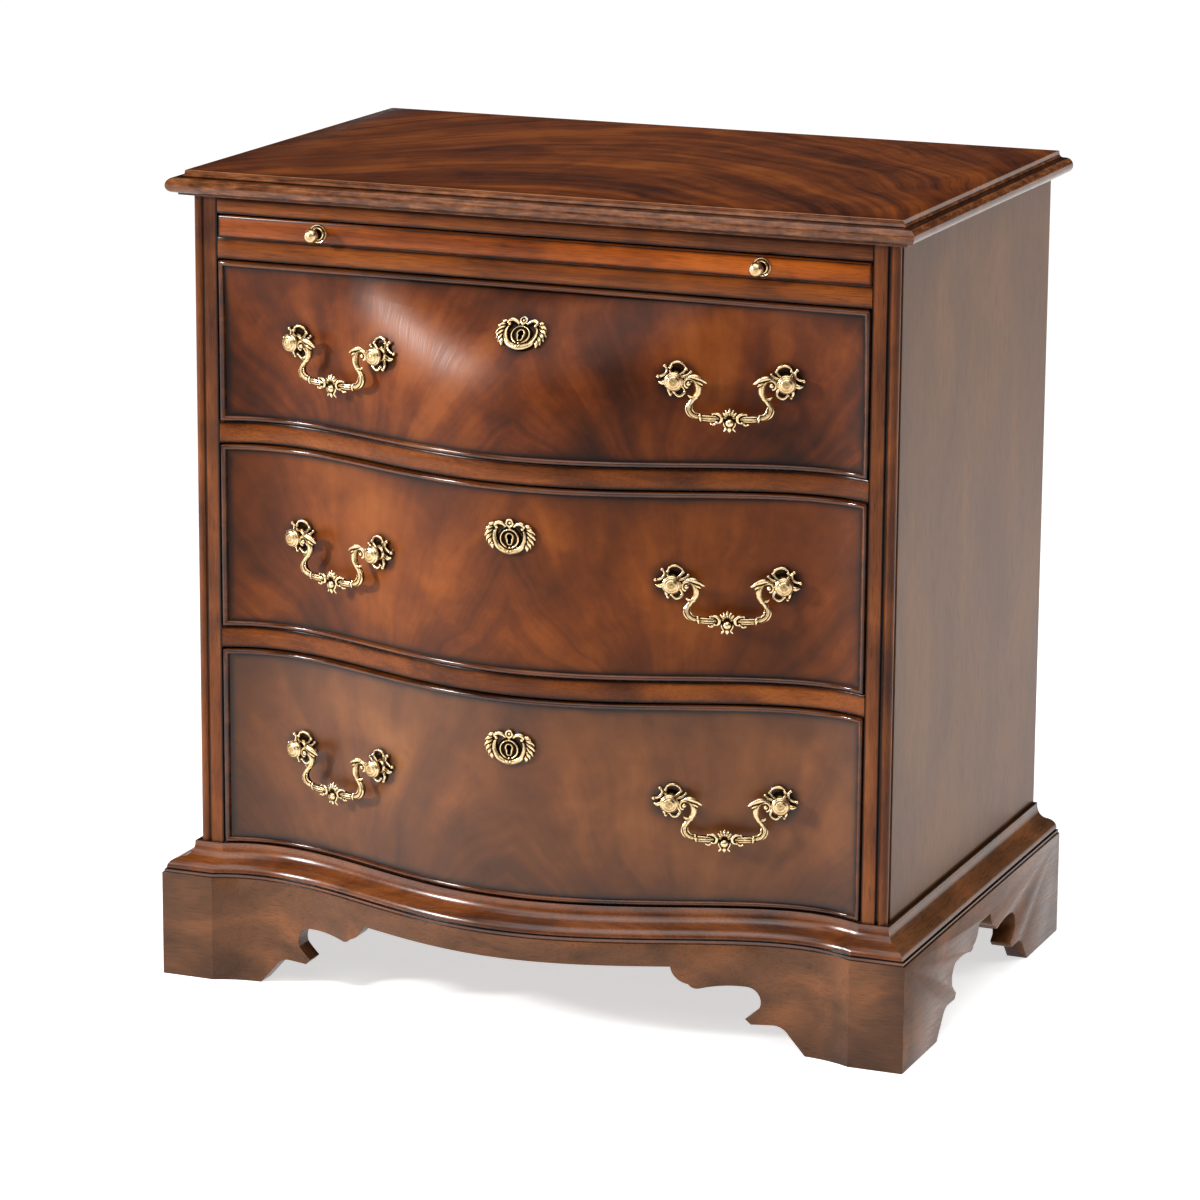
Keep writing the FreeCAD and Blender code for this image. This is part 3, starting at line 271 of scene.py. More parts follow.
def stained_and_shaded(tree, place, colour, limits, width, darkest):
    """Darkens a colour unevenly towards the edges of its board: a hand-laid stain on some boards, painted
    shade beside a gap on others.
    """
    uneven = calc(tree, "MULTIPLY_ADD", clouds(tree, place, 22.0, 3), 0.6 * width, -0.3 * width)
    distance = calc(tree, "ADD", edge_distance(tree, place, limits), uneven)
    shade = ramp(tree, distance, -0.1 * width, width, darkest, 1.0)
    return mixed(tree, "MULTIPLY", 1.0, colour, shade)


def lined(tree, place, colour, lines):
    """Paints shade into grooves and the gaps at joins, each (axis, distance along it, half width)."""
    parts = add(tree, "ShaderNodeSeparateXYZ", {0: place}).outputs
    for axis, middle, half in lines:
        off = calc(tree, "SUBTRACT", calc(tree, "ABSOLUTE", parts[axis]), middle)
        shade = ramp(tree, calc(tree, "ABSOLUTE", off), 0.3 * half, half, 0.08, 1.0)
        colour = mixed(tree, "MULTIPLY", 1.0, colour, shade)
    return colour


def polished(material, colour, fibre, gloss, shine, relief=0.12):
    """French polish: even gloss, a little rougher along the fibre."""
    roughness = ramp(material.node_tree, fibre, 0.3, 0.7, *gloss)
    shader = wired(material, colour, roughness, fibre, relief, 0.3 * MM)
    shader.inputs["Specular IOR Level"].default_value = shine
    return material


def grain_scale(axis, along, across):
    return [along if i == axis else across for i in range(3)]


def straight_mahogany(
    name, axis, stops, seed, mottle=0.3, stains_and_shade=(), lines=(),
    gloss=(0.2, 0.3), shine=0.3, spots=24.0, relief=0.12,
):
    """Mahogany with its grain along an axis; stains_and_shade are (limits, width, darkest), edge darkenings
    that are real stain on some boards and painted shade on others.
    """
    material, tree, place = blank_finish(name)
    figure = clouds(tree, stretched(tree, place, grain_scale(axis, 3.2, 36), seed), 1.0, 4, 0.55, 0.5)
    patches = clouds(tree, stretched(tree, place, grain_scale(axis, 0.6, 1.0), seed + 5), spots, 4, 0.5, 0.6)
    fibre = clouds(tree, stretched(tree, place, grain_scale(axis, 9, 430), seed + 3), 1.0, 3, 0.6)
    pores = clouds(tree, stretched(tree, place, grain_scale(axis, 55, 1500), seed + 7), 1.0, 1)
    heat = calc(tree, "MULTIPLY_ADD", patches, mottle, calc(tree, "MULTIPLY", figure, 0.88 * (1 - mottle)))
    heat = calc(tree, "MULTIPLY_ADD", fibre, 0.12 * (1 - mottle), heat)
    colour = palette(tree, heat, stops)
    colour = mixed(tree, "MULTIPLY", 1.0, colour, ramp(tree, pores, 0.33, 0.46, 0.6, 1.0))
    for limits, width, darkest in stains_and_shade:
        colour = stained_and_shaded(tree, place, colour, limits, width, darkest)
    return polished(material, lined(tree, place, colour, lines), fibre, gloss, shine, relief)


def toned(stops, red, green, blue):
    """Colour stops with each channel made stronger or weaker."""
    return [(place, red * r, green * g, blue * b) for place, r, g, b in stops]


ORANGE_BROWN = [
    (0.36, 0.075, 0.0146, 0.0017),
    (0.45, 0.160, 0.0360, 0.0036),
    (0.53, 0.265, 0.0605, 0.0056),
    (0.64, 0.390, 0.1020, 0.0120),
]
BRIGHT_ORANGE = toned(ORANGE_BROWN, 1.36, 1.26, 1.0)
BEAD_BROWN = toned(ORANGE_BROWN, 0.42, 0.42, 0.5)
RAIL_BROWN = toned(ORANGE_BROWN, 0.8, 0.83, 0.9)
DEEP_ORANGE = toned(ORANGE_BROWN, 0.66, 0.76, 1.5)
QUIET_BROWN = [
    (0.36, 0.094, 0.0360, 0.0138),
    (0.45, 0.129, 0.0505, 0.0193),
    (0.53, 0.160, 0.0620, 0.0240),
    (0.64, 0.230, 0.0840, 0.0295),
]
END_BROWN = [(0.36, 0.130, 0.0490, 0.0120), (0.50, 0.158, 0.0600, 0.0148), (0.64, 0.198, 0.0760, 0.0190)]


def dark_edges(limits, width=5.2 * MM):
    """Painted shade for a framed board: a soft darkening, and black at the very edge, where the gap beside it
    lies in shade.
    """
    return [(limits, width, 0.45), (limits, 0.65 * width, 0.05), (limits, 0.45 * width, 0.05)]


print("wood layers ready")

# %% [markdown]
# The drawer fronts carry a crotch veneer, cut where a trunk forks and opened like a
# book about the middle, so each half has a plume. In each half the fibres rise from a
# point below the drawer and fan outwards. Dividing the distance from the plume's spine
# by the height above that point gives a number that stays the same along one fibre,
# and noise on that number draws the fan. A few broad patches, lighter or darker, lie
# over it; the brightest, on the left of the top drawer's swelling, is partly a painted
# glow of the left soft box. The faces darken gently towards their edges and go black at
# the very edge as painted shade of the gap round each drawer, and painted shadow of the
# brass darkens the wood round the fittings. The top drawer is the reddest and the bottom
# one is a smoky brown, partly a painted reflection of the pale floor.

# %% Figured veneer
SPINE = 155 * MM
FAN_DEPTH = 95 * MM
FLAME = [
    (0.41, 0.046, 0.0098, 0.0010),
    (0.46, 0.092, 0.0200, 0.0021),
    (0.50, 0.138, 0.0298, 0.0032),
    (0.545, 0.225, 0.0530, 0.0060),
    (0.61, 0.340, 0.0960, 0.0150),
]
VENEER_WEIGHTS = (0.31, 0.40, 0.15, 0.09, 0.05)
# Darkening towards a drawer face's edges: two broad gentle bands, then painted shade that goes black at the
# edge, where the gap round the drawer lies in shade.
VENEER_STAINS_AND_SHADE = [(75 * MM, 0.82), (28 * MM, 0.84), (8 * MM, 0.4), (3.6 * MM, 0.02)]
# Painted shadow of the brass: how far round each post and escutcheon the wood is darkened, and how dark.
HALO_INSIDE, HALO_OUTSIDE, HALO_SHADE = 9 * MM, 23 * MM, 0.1


def wavered(tree, place, seed, scale, reach):
    """Moves a place about by noise, so that figure drawn on it flows."""
    inputs = {"Vector": stretched(tree, place, (1, 1, 1), seed), "Scale": scale}
    noise = add(tree, "ShaderNodeTexNoise", inputs)
    inputs = {0: noise.outputs["Color"], 1: (0.5, 0.5, 0.5)}
    shift = add(tree, "ShaderNodeVectorMath", inputs, operation="SUBTRACT").outputs[0]
    inputs = {0: shift, 1: (reach, reach, reach), 2: place}
    return add(tree, "ShaderNodeVectorMath", inputs, operation="MULTIPLY_ADD").outputs[0]


def away_from(tree, across, up, x, z):
    """The distance from a place on a drawer front, in the plane of the front."""
    across = calc(tree, "SUBTRACT", across, x)
    up = calc(tree, "SUBTRACT", up, z)
    return calc(tree, "SQRT", calc(tree, "MULTIPLY_ADD", across, across, calc(tree, "MULTIPLY", up, up)))


def figured_mahogany(name, seed, half, bottom, top, contrast, shine, stops, plumes_and_glow, fittings):
    """Book-matched crotch veneer; plumes_and_glow are patches, (x, share of height, reach, strength), one
    partly a painted glow; fittings are (x, z) places ringed by painted shadow.
    """
    material, tree, place = blank_finish(name)
    waved = wavered(tree, place, seed, 9.0, 0.06)
    parts = add(tree, "ShaderNodeSeparateXYZ", {0: waved}).outputs
    spine = calc(tree, "SUBTRACT", calc(tree, "ABSOLUTE", parts[0]), SPINE)
    height = calc(tree, "SUBTRACT", parts[2], bottom - FAN_DEPTH)
    fan = calc(tree, "DIVIDE", spine, height)
    flow = add(tree, "ShaderNodeCombineXYZ", {0: fan, 1: height, 2: seed}).outputs[0]
    bands = clouds(tree, stretched(tree, flow, (5.2, 4.0, 1.0)), 1.0, 2, 0.45, 0.3)
    broad = clouds(tree, stretched(tree, place, (1, 1, 1), seed + 2), 12.0, 3, 0.45, 0.5)
    small = clouds(tree, stretched(tree, place, (1, 1, 1), seed + 4), 55.0, 4, 0.6, 0.4)
    streaks = clouds(tree, stretched(tree, flow, (20, 4.5, 1.0)), 1.0, 3, 0.5, 0.2)
    fibre = clouds(tree, stretched(tree, flow, (130, 16, 1.0)), 1.0, 3, 0.6)
    heat = ramp(tree, calc(tree, "ABSOLUTE", fan), 0.0, 0.7, 0.04, -0.02)
    for layer, weight in zip((bands, broad, small, streaks, fibre), VENEER_WEIGHTS):
        heat = calc(tree, "MULTIPLY_ADD", layer, weight, heat)
    heat = calc(tree, "MULTIPLY_ADD", heat, contrast, 0.5 - 0.5 * contrast)
    for x, share, reach, strength in plumes_and_glow:
        away = away_from(tree, parts[0], parts[2], x * MM, bottom + share * (top - bottom))
        heat = calc(tree, "ADD", heat, ramp(tree, away, 0.0, reach * MM, strength, 0.0))
    colour = palette(tree, heat, stops)
    limits = [(0, -half, half), (2, bottom, top)]
    for width, darkest in VENEER_STAINS_AND_SHADE:
        colour = stained_and_shaded(tree, place, colour, limits, width, darkest)
    parts = add(tree, "ShaderNodeSeparateXYZ", {0: place}).outputs
    # Painted shadow round each fitting.
    for x, z in fittings:
        away = away_from(tree, calc(tree, "ABSOLUTE", parts[0]), parts[2], x, z)
        shade = ramp(tree, away, HALO_INSIDE, HALO_OUTSIDE, HALO_SHADE, 1.0)
        colour = mixed(tree, "MULTIPLY", 1.0, colour, shade)
    return polished(material, colour, fibre, (0.34, 0.42), shine)


CORE_SPANS = {1: (527.1 * MM, 664.8 * MM), 2: (336.1 * MM, 495.8 * MM), 3: (130.6 * MM, 304.8 * MM)}
HALF_CORE = 304.9 * MM
# Patches of figure on each drawer; the first on the top drawer sits where the left soft box lights the
# swelling and is partly a painted glow.
PLUMES_AND_GLOW = {
    1: [(-105, 0.55, 105, 0.1), (165, 0.85, 70, 0.045), (92, 0.35, 70, -0.05), (255, 0.2, 70, -0.03)],
    2: [(-150, 0.8, 70, 0.05), (-60, 0.4, 70, 0.025), (75, 0.5, 70, -0.035), (280, 0.5, 75, 0.035)],
    3: [(-100, 0.5, 90, 0.025), (90, 0.5, 80, 0.015), (280, 0.5, 80, 0.04)],
}
POST_PLACES = (139 * MM, 233 * MM)
FITTING_LEVELS = {1: (600 * MM, 630 * MM), 2: (421 * MM, 455 * MM), 3: (223 * MM, 264 * MM)}
RED_FLAME = toned(FLAME, 0.76, 0.68, 0.7)
# The bottom drawer's greyer, smokier colour is partly a painted reflection of the pale floor.
SMOKY_FLAME_AND_FLOOR_VEIL = toned(FLAME, 0.92, 1.23, 2.3)
VENEERS = {1: (0.74, 0.2, RED_FLAME), 2: (0.52, 0.22, FLAME), 3: (0.4, 0.42, SMOKY_FLAME_AND_FLOOR_VEIL)}
FRONT_FINISH = {}
for number, (contrast, shine, stops) in VENEERS.items():
    edges = (HALF_CORE, *CORE_SPANS[number])
    handle, keyhole = FITTING_LEVELS[number]
    fittings = [(x, handle) for x in POST_PLACES] + [(0.0, keyhole)]
    look = (contrast, shine, stops, PLUMES_AND_GLOW[number], fittings)
    FRONT_FINISH[number] = figured_mahogany(f"figured_mahogany_{number}", 3.7 * number, *edges, *look)
print("veneers:", [m.name for m in FRONT_FINISH.values()])

# %% [markdown]
# The plain members have straight grain, along x on the rails and the slide and along z
# on the stiles. The top's figure lies in long arches from side to side, the ends of the
# case are quieter, and the plinth is mottled. The beads round the drawers are almost
# black. Painted shade blackens the rails, the slide and the beads along the gaps and
# fills the grooves, a painted shadow of the top's nose falls on the frieze, and a painted
# highlight runs along the top's arris. Inside, where nobody looks, the case is a plain
# brown hardwood and the drawers are lined with a paler one.

# %% The other woods
TOP_FLAME = [
    (0.39, 0.050, 0.0090, 0.0009),
    (0.45, 0.108, 0.0212, 0.0022),
    (0.50, 0.155, 0.0325, 0.0035),
    (0.55, 0.225, 0.0500, 0.0054),
    (0.62, 0.320, 0.0815, 0.0105),
]
NOSE_BROWN = [
    (0.36, 0.050, 0.0140, 0.0040),
    (0.45, 0.100, 0.0300, 0.0085),
    (0.53, 0.160, 0.0500, 0.0155),
    (0.64, 0.270, 0.0980, 0.0340),
]
# A pale painted highlight for the line along the top's arris.
PAINTED_ARRIS_HIGHLIGHT = [(0.4, 0.34, 0.165, 0.080), (0.6, 0.46, 0.250, 0.130)]
TOP_ARCH = 2.6
TOP_GLOSS, TOP_SHINE = (0.11, 0.13), 0.4


def lengthwise_flame(name, seed, limits, lines, step):
    """Figure in long arches along x, for the top board, with a painted highlight along its arris; its edge
    below a step is paler.
    """
    material, tree, place = blank_finish(name)
    parts = add(tree, "ShaderNodeSeparateXYZ", {0: wavered(tree, place, seed, 4.5, 0.07)}).outputs
    arch = calc(tree, "MULTIPLY_ADD", calc(tree, "MULTIPLY", parts[0], parts[0]), TOP_ARCH, parts[1])
    moved = add(tree, "ShaderNodeCombineXYZ", {0: parts[0], 1: arch, 2: seed}).outputs[0]
    bands = clouds(tree, stretched(tree, moved, (3.5, 14, 1), seed), 1.0, 3, 0.5, 0.4)
    streaks = clouds(tree, stretched(tree, moved, (6, 62, 1), seed + 2), 1.0, 4, 0.6)
    ripple = clouds(tree, stretched(tree, place, (26, 18, 1), seed + 8), 1.0, 3, 0.55, 0.5)
    fibre = clouds(tree, stretched(tree, moved, (16, 420, 1), seed + 4), 1.0, 3, 0.6)
    heat = calc(tree, "MULTIPLY", fibre, 0.12)
    for layer, weight in ((bands, 0.34), (streaks, 0.34), (ripple, 0.2)):
        heat = calc(tree, "MULTIPLY_ADD", layer, weight, heat)
    colour = palette(tree, heat, TOP_FLAME)
    colour = stained_and_shaded(tree, place, colour, limits, 30 * MM, 0.55)
    # Painted highlight: a pale line along the arris, where the edge catches the light.
    arris = ramp(tree, edge_distance(tree, place, limits), 0.4 * MM, 1.8 * MM, 0.7, 0.0)
    colour = mixed(tree, "MIX", arris, colour, palette(tree, heat, PAINTED_ARRIS_HIGHLIGHT))
    height = add(tree, "ShaderNodeSeparateXYZ", {0: place}).outputs[2]
    speckle = clouds(tree, stretched(tree, place, (60, 60, 300), seed + 6), 1.0, 3, 0.6)
    speckle = calc(tree, "MULTIPLY_ADD", speckle, 0.6, calc(tree, "MULTIPLY", heat, 0.4))
    below = ramp(tree, height, step - 0.5 * MM, step + 0.5 * MM, 1.0, 0.0)
    colour = mixed(tree, "MIX", below, colour, palette(tree, speckle, NOSE_BROWN))
    return polished(material, lined(tree, place, colour, lines), fibre, TOP_GLOSS, TOP_SHINE)


HALF_CASE = 335 * MM
Y_STILE = -178 * MM
Y_BACK = 252 * MM
Z_BASE = 125 * MM
Z_TOP = 728 * MM
HEIGHT = 750 * MM
TOP_ARRIS = 5 * MM
TOP_END = Y_BACK + 8 * MM
TOP_HALF = HALF_CASE + TOP_ARRIS
top_limits = [(0, -TOP_HALF, TOP_HALF), (1, Y_STILE - TOP_ARRIS, TOP_END + 30 * MM)]
# Painted shade in the hollow above the nose and under the nose.
TOP_LINES = [(2, 744.2 * MM, 0.8 * MM), (2, 730 * MM, 0.8 * MM)]
TOP_WOOD = lengthwise_flame("top_mahogany", 2.4, top_limits, TOP_LINES, 748.6 * MM)
# Painted shade in the quirk beside the stile's bead and along the gap at the drawer opening.
STILE_LINES = [(0, 325.2 * MM, 1.9 * MM), (0, 311.0 * MM, 2.6 * MM)]
STILE_WOOD = straight_mahogany("stile_mahogany", 2, DEEP_ORANGE, 5.1, 0.45, lines=STILE_LINES, shine=0.2)
END_LIMITS = [(1, Y_STILE + 10 * MM, Y_BACK + 40 * MM), (2, Z_BASE, Z_TOP)]
# The ends darken towards their front, top and bottom edges, broadly and then narrowly.
END_EDGE_DARKENING = [(END_LIMITS, 40 * MM, 0.8), (END_LIMITS, 4 * MM, 0.3)]
END_WOOD = straight_mahogany(
    "end_mahogany", 2, END_BROWN, 8.2, 0.8, END_EDGE_DARKENING, gloss=(0.28, 0.31), shine=0.13, spots=9.0, relief=0.03
)
BEAD_WIDTH = 4.6 * MM
BEAD_FINISH = {}
for number, (bottom, top) in CORE_SPANS.items():
    # Painted shade: each bead goes black at its outer edge, in the gap round the drawer.
    rim = [(0, -HALF_CORE - BEAD_WIDTH, HALF_CORE + BEAD_WIDTH), (2, bottom - BEAD_WIDTH, top + BEAD_WIDTH)]
    BEAD_FINISH[number] = straight_mahogany(
        f"bead_mahogany_{number}", 0, BEAD_BROWN, 9.4,
        stains_and_shade=[(rim, 2.2 * MM, 0.04)], gloss=(0.14, 0.2), shine=0.5,
    )
# Painted shade where the moulding meets the case, in its groove and where it meets the plinth.
MOULDING_LINES = [(2, 125.4 * MM, 1.0 * MM), (2, 101.0 * MM, 0.9 * MM), (2, 97.6 * MM, 1.0 * MM)]
MOULDING_WOOD = straight_mahogany(
    "moulding_mahogany", 0, DEEP_ORANGE, 10.3, 0.6, lines=MOULDING_LINES, gloss=(0.22, 0.28), shine=0.6
)
SIDE_MOULDING_WOOD = straight_mahogany(
    "side_moulding_mahogany", 1, QUIET_BROWN, 12.7, 0.6, lines=MOULDING_LINES, gloss=(0.16, 0.22), shine=0.3
)
# Painted shade along the plinth's top, under the moulding.
PLINTH_LINES = [(2, 98.6 * MM, 1.2 * MM)]
HALF_PLINTH = 362 * MM
# The front plinth darkens towards its ends and towards the floor.
PLINTH_EDGE_DARKENING = [([(0, -HALF_PLINTH, HALF_PLINTH), (2, 0.0, HEIGHT)], 35 * MM, 0.62)]
PLINTH_WOOD = straight_mahogany(
    "plinth_mahogany", 0, QUIET_BROWN, 11.6, 0.85, PLINTH_EDGE_DARKENING, PLINTH_LINES, shine=0.25
)
SIDE_PLINTH_WOOD = straight_mahogany(
    "side_plinth_mahogany", 1, QUIET_BROWN, 13.2, 0.85, lines=PLINTH_LINES, shine=0.12
)
PLAIN_BROWN = [(0.28, 0.115, 0.053, 0.024), (0.5, 0.185, 0.091, 0.043), (0.72, 0.255, 0.135, 0.068)]
PALE_LINING = [(0.28, 0.26, 0.145, 0.066), (0.5, 0.38, 0.225, 0.107), (0.72, 0.48, 0.305, 0.16)]
CARCASE_WOOD = straight_mahogany("carcase_wood", 1, PLAIN_BROWN, 3.3, gloss=(0.5, 0.65))
LINING_WOOD = straight_mahogany("lining_wood", 1, PALE_LINING, 6.7, gloss=(0.42, 0.55))
LINING_BACK_WOOD = straight_mahogany("lining_back_wood", 0, PALE_LINING, 7.9, gloss=(0.42, 0.55))
print("woods:", sum(m.use_nodes for m in bpy.data.materials))

# %% [markdown]
# A piece is made of plain points and faces and given its finish, and then settled: it
# rides on a body and stands for a CAD node, which is hidden. `loft` joins rings of points
# with quads, which makes every moulding here. Curved edges are shaded smooth, and
# anything sharper than thirty-odd degrees stays crisp.

# %% Piece helpers
def new_piece(name, points, faces, material=None):
    mesh = bpy.data.meshes.new(name)
    mesh.from_pydata(points, [], faces)
    if material:
        mesh.materials.append(material)
    piece = bpy.data.objects.new(name, mesh)
    scene.collection.objects.link(piece)
    return piece


def clean(piece, sharp=35):
    """Merges doubled points, turns the faces outwards and shades them."""
    work = bmesh.new()
    work.from_mesh(piece.data)
    bmesh.ops.remove_doubles(work, verts=work.verts, dist=1e-6)
    bmesh.ops.recalc_face_normals(work, faces=work.faces)
    work.to_mesh(piece.data)
    work.free()
    piece.data.shade_smooth()
    piece.data.set_sharp_from_angle(angle=math.radians(sharp))
    return piece


def made_plain(piece):
    """The evaluated shape becomes the piece's own mesh, with no modifier left."""
    graph = bpy.context.evaluated_depsgraph_get()
    mesh = bpy.data.meshes.new_from_object(piece.evaluated_get(graph))
    piece.modifiers.clear()
    piece.data = mesh
    return piece


def settle(piece, body, slot, *nodes):
    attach(piece, body)
    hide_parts(*nodes)
    return piece


def loft(rings, closed_path=False):
    count = len(rings[0])
    points = [point for ring in rings for point in ring]
    faces = []
    for i in range(len(rings) - (0 if closed_path else 1)):
        one = i * count
        two = (i + 1) % len(rings) * count
        for j in range(count):
            k = (j + 1) % count
            faces.append((one + j, one + k, two + k, two + j))
    if not closed_path:
        faces.append(tuple(range(count)))
        faces.append(tuple(range(len(points) - count, len(points))))
    return points, faces


def block(x0, x1, y0, y1, z0, z1):
    ring = [(y0, z0), (y1, z0), (y1, z1), (y0, z1)]
    return loft([[(x, y, z) for y, z in ring] for x in (x0, x1)])


def sliced(piece, axis, places):
    """Cuts across the faces, so that a straight piece can bend."""
    work = bmesh.new()
    work.from_mesh(piece.data)
    normal = Vector([float(i == axis) for i in range(3)])
    for place in places:
        geometry = work.verts[:] + work.edges[:] + work.faces[:]
        bmesh.ops.bisect_plane(work, geom=geometry, plane_co=normal * place, plane_no=normal)
    work.to_mesh(piece.data)
    work.free()
    return piece


def eased(piece, width, segments=2, angle=32):
    """A small rounding on every edge, as sandpaper leaves it."""
    bevel = piece.modifiers.new("eased", "BEVEL")
    bevel.width = width
    bevel.segments = segments
    bevel.limit_method = "ANGLE"
    bevel.angle_limit = math.radians(angle)
    return piece


def cut_away(piece, points, faces):
    """Takes a solid shape out of a piece."""
    cutter = clean(new_piece("cutter", points, faces))
    boolean = piece.modifiers.new("cut", "BOOLEAN")
    boolean.object = cutter
    boolean.solver = "EXACT"
    made_plain(piece)
    bpy.data.objects.remove(cutter)
    return piece


def spread(start, end, count):
    return [start + (end - start) * i / count for i in range(count + 1)]


def quadratic(one, two, three, count=8):
    """Points on the parabola arc from one to three that two pulls towards it."""
    points = []
    for t in spread(0, 1, count):
        weights = ((1 - t) ** 2, 2 * t * (1 - t), t * t)
        points.append(tuple(sum(w * p[i] for w, p in zip(weights, (one, two, three))) for i in range(2)))
    return points


print("piece helpers ready")

# %% [markdown]
# The whole front follows one curve: it swells in the middle, falls back in two hollows
# and returns to the stiles. The rule is short, so a Geometry Nodes tree does the
# bending: each piece is made straight, cut across into short lengths, and its points
# are pushed forward by the curve. The top drawer is straight along its top edge and
# takes up the curve on its way down, which is the Swell input. Points behind Back Start
# take a share of their own, so a rail's back can stay straight.

# %% The serpentine
HALF_OPENING = 311 * MM
BOW = 55 * MM
CROSSING = 200 * MM
RATIO = (HALF_OPENING / CROSSING) ** 2
SERPENTINE_INPUTS = [("Bow", BOW), ("Half Opening", HALF_OPENING), ("Ratio", RATIO), ("Swell", 0.0)]
SERPENTINE_INPUTS += [("Swell Bottom", CORE_SPANS[1][0]), ("Swell Top", CORE_SPANS[1][1])]
SERPENTINE_INPUTS += [("Back Start", 10.0), ("Back Share", 1.0)]


def new_tree(name, floats=(), objects=()):
    tree = bpy.data.node_groups.new(name, "GeometryNodeTree")
    tree.interface.new_socket("Geometry", in_out="INPUT", socket_type="NodeSocketGeometry")
    for key, value in floats:
        socket = tree.interface.new_socket(key, in_out="INPUT", socket_type="NodeSocketFloat")
        socket.default_value = value
    for key in objects:
        tree.interface.new_socket(key, in_out="INPUT", socket_type="NodeSocketObject")
    tree.interface.new_socket("Finish", in_out="INPUT", socket_type="NodeSocketMaterial")
    tree.interface.new_socket("Geometry", in_out="OUTPUT", socket_type="NodeSocketGeometry")
    return tree, add(tree, "NodeGroupInput").outputs


def end_tree(tree, geometry, finish):
    real = add(tree, "GeometryNodeRealizeInstances", {0: geometry})
    coated = add(tree, "GeometryNodeSetMaterial", {"Geometry": real.outputs[0], "Material": finish})
    add(tree, "NodeGroupOutput", {0: coated.outputs[0]})


def run_tree(piece, tree, **inputs):
    """Adds the tree to a piece, sets its inputs by identifier and keeps the result."""
    modifier = piece.modifiers.new(tree.name, "NODES")
    modifier.node_group = tree
    names = {item.name: item.identifier for item in tree.interface.items_tree if item.in_out == "INPUT"}
    for key, value in inputs.items():
        modifier[names[key.replace("_", " ")]] = value
    return made_plain(piece)


def serpentine_tree():
    tree, given = new_tree("serpentine", SERPENTINE_INPUTS)
    place = add(tree, "ShaderNodeSeparateXYZ", {0: add(tree, "GeometryNodeInputPosition").outputs[0]}).outputs
    across = calc(tree, "DIVIDE", place[0], given["Half Opening"])
    across = calc(tree, "MINIMUM", calc(tree, "MAXIMUM", across, -1.0), 1.0)
    square = calc(tree, "MULTIPLY", across, across)
    ahead = calc(tree, "MULTIPLY", given["Bow"], calc(tree, "SUBTRACT", 1.0, square))
    turn_back = calc(tree, "SUBTRACT", 1.0, calc(tree, "MULTIPLY", given["Ratio"], square))
    ahead = calc(tree, "MULTIPLY", ahead, turn_back)
    rise = calc(tree, "SUBTRACT", given["Swell Top"], given["Swell Bottom"])
    t = calc(tree, "DIVIDE", calc(tree, "SUBTRACT", place[2], given["Swell Bottom"]), rise)
    t = calc(tree, "MINIMUM", calc(tree, "MAXIMUM", t, 0.0), 1.0)
    t2 = calc(tree, "MULTIPLY", t, t)
    t3 = calc(tree, "MULTIPLY", t2, t)
    front = calc(tree, "SUBTRACT", 1.0, calc(tree, "MULTIPLY", given["Swell"], t3))
    fall = calc(tree, "SUBTRACT", calc(tree, "MULTIPLY", t2, 3.0), calc(tree, "MULTIPLY", t3, 2.0))
    back = calc(tree, "SUBTRACT", 1.0, calc(tree, "MULTIPLY", given["Swell"], fall))
    back = calc(tree, "MULTIPLY", back, given["Back Share"])
    behind = calc(tree, "GREATER_THAN", place[1], given["Back Start"])
    share = calc(tree, "MULTIPLY_ADD", behind, calc(tree, "SUBTRACT", back, front), front)
    forward = calc(tree, "MULTIPLY", calc(tree, "MULTIPLY", ahead, share), -1.0)
    offset = add(tree, "ShaderNodeCombineXYZ", {1: forward})
    bent = add(tree, "GeometryNodeSetPosition", {"Geometry": given["Geometry"], "Offset": offset.outputs[0]})
    end_tree(tree, bent.outputs[0], given["Finish"])
    return tree


SERPENTINE = serpentine_tree()
CROSS_CUTS = spread(-HALF_OPENING, HALF_OPENING, 64)
print("serpentine tree:", len(SERPENTINE.nodes), "nodes")

# %% [markdown]
# The top is one board with a moulded edge on three sides: a fillet underneath, a round
# nose, a step and a small hollow up to the flat. Its section is drawn once, as distance
# out from the case and height, and carried round the front corners with a mitre.

# %% Top board
NOSE = 7 * MM
NOSE_CENTRE = 11.6 * MM
COVE_FOOT = 9.6 * MM


def top_section():
    points = [(-40 * MM, Z_TOP), (COVE_FOOT, Z_TOP), (COVE_FOOT, Z_TOP + 2 * MM)]
    middle = Z_TOP + 2 * MM + NOSE
    for angle in spread(-90, 90, 18):
        turn = math.radians(angle)
        points.append((NOSE_CENTRE + NOSE * math.cos(turn), middle + NOSE * math.sin(turn)))
    ledge = middle + NOSE
    points += quadratic((COVE_FOOT, ledge), (TOP_ARRIS, ledge), (TOP_ARRIS, HEIGHT - 1.5 * MM), 6)
    worn = (TOP_ARRIS - 0.8 * MM, HEIGHT)
    points += quadratic((TOP_ARRIS, HEIGHT - 0.7 * MM), (TOP_ARRIS, HEIGHT), worn, 3)
    return points + [(-40 * MM, HEIGHT)]


def top_board():
    rings = []
    for x_side, at_back in ((-1, True), (-1, False), (1, False), (1, True)):
        ring = []
        for out, z in top_section():
            y = TOP_END if at_back else Y_STILE - out
            ring.append((x_side * (HALF_CASE + out), y, z))
        rings.append(ring)
    points, faces = loft(rings)
    count = len(rings[0])
    faces = [face for face in faces[:-2] if not {face[0] % count, face[1] % count} == {0, count - 1}]
    last = [i * count + count - 1 for i in range(4)]
    first = [i * count for i in range(4)]
    back = list(range(count)) + list(range(4 * count - 1, 3 * count - 1, -1))
    return points, faces + [tuple(last), tuple(first), tuple(back)]


top = clean(new_piece("top_board_finished", *top_board(), TOP_WOOD))
settle(top, "carcase", "mahogany", "top_board")
print("top:", len(top.data.polygons), "faces")

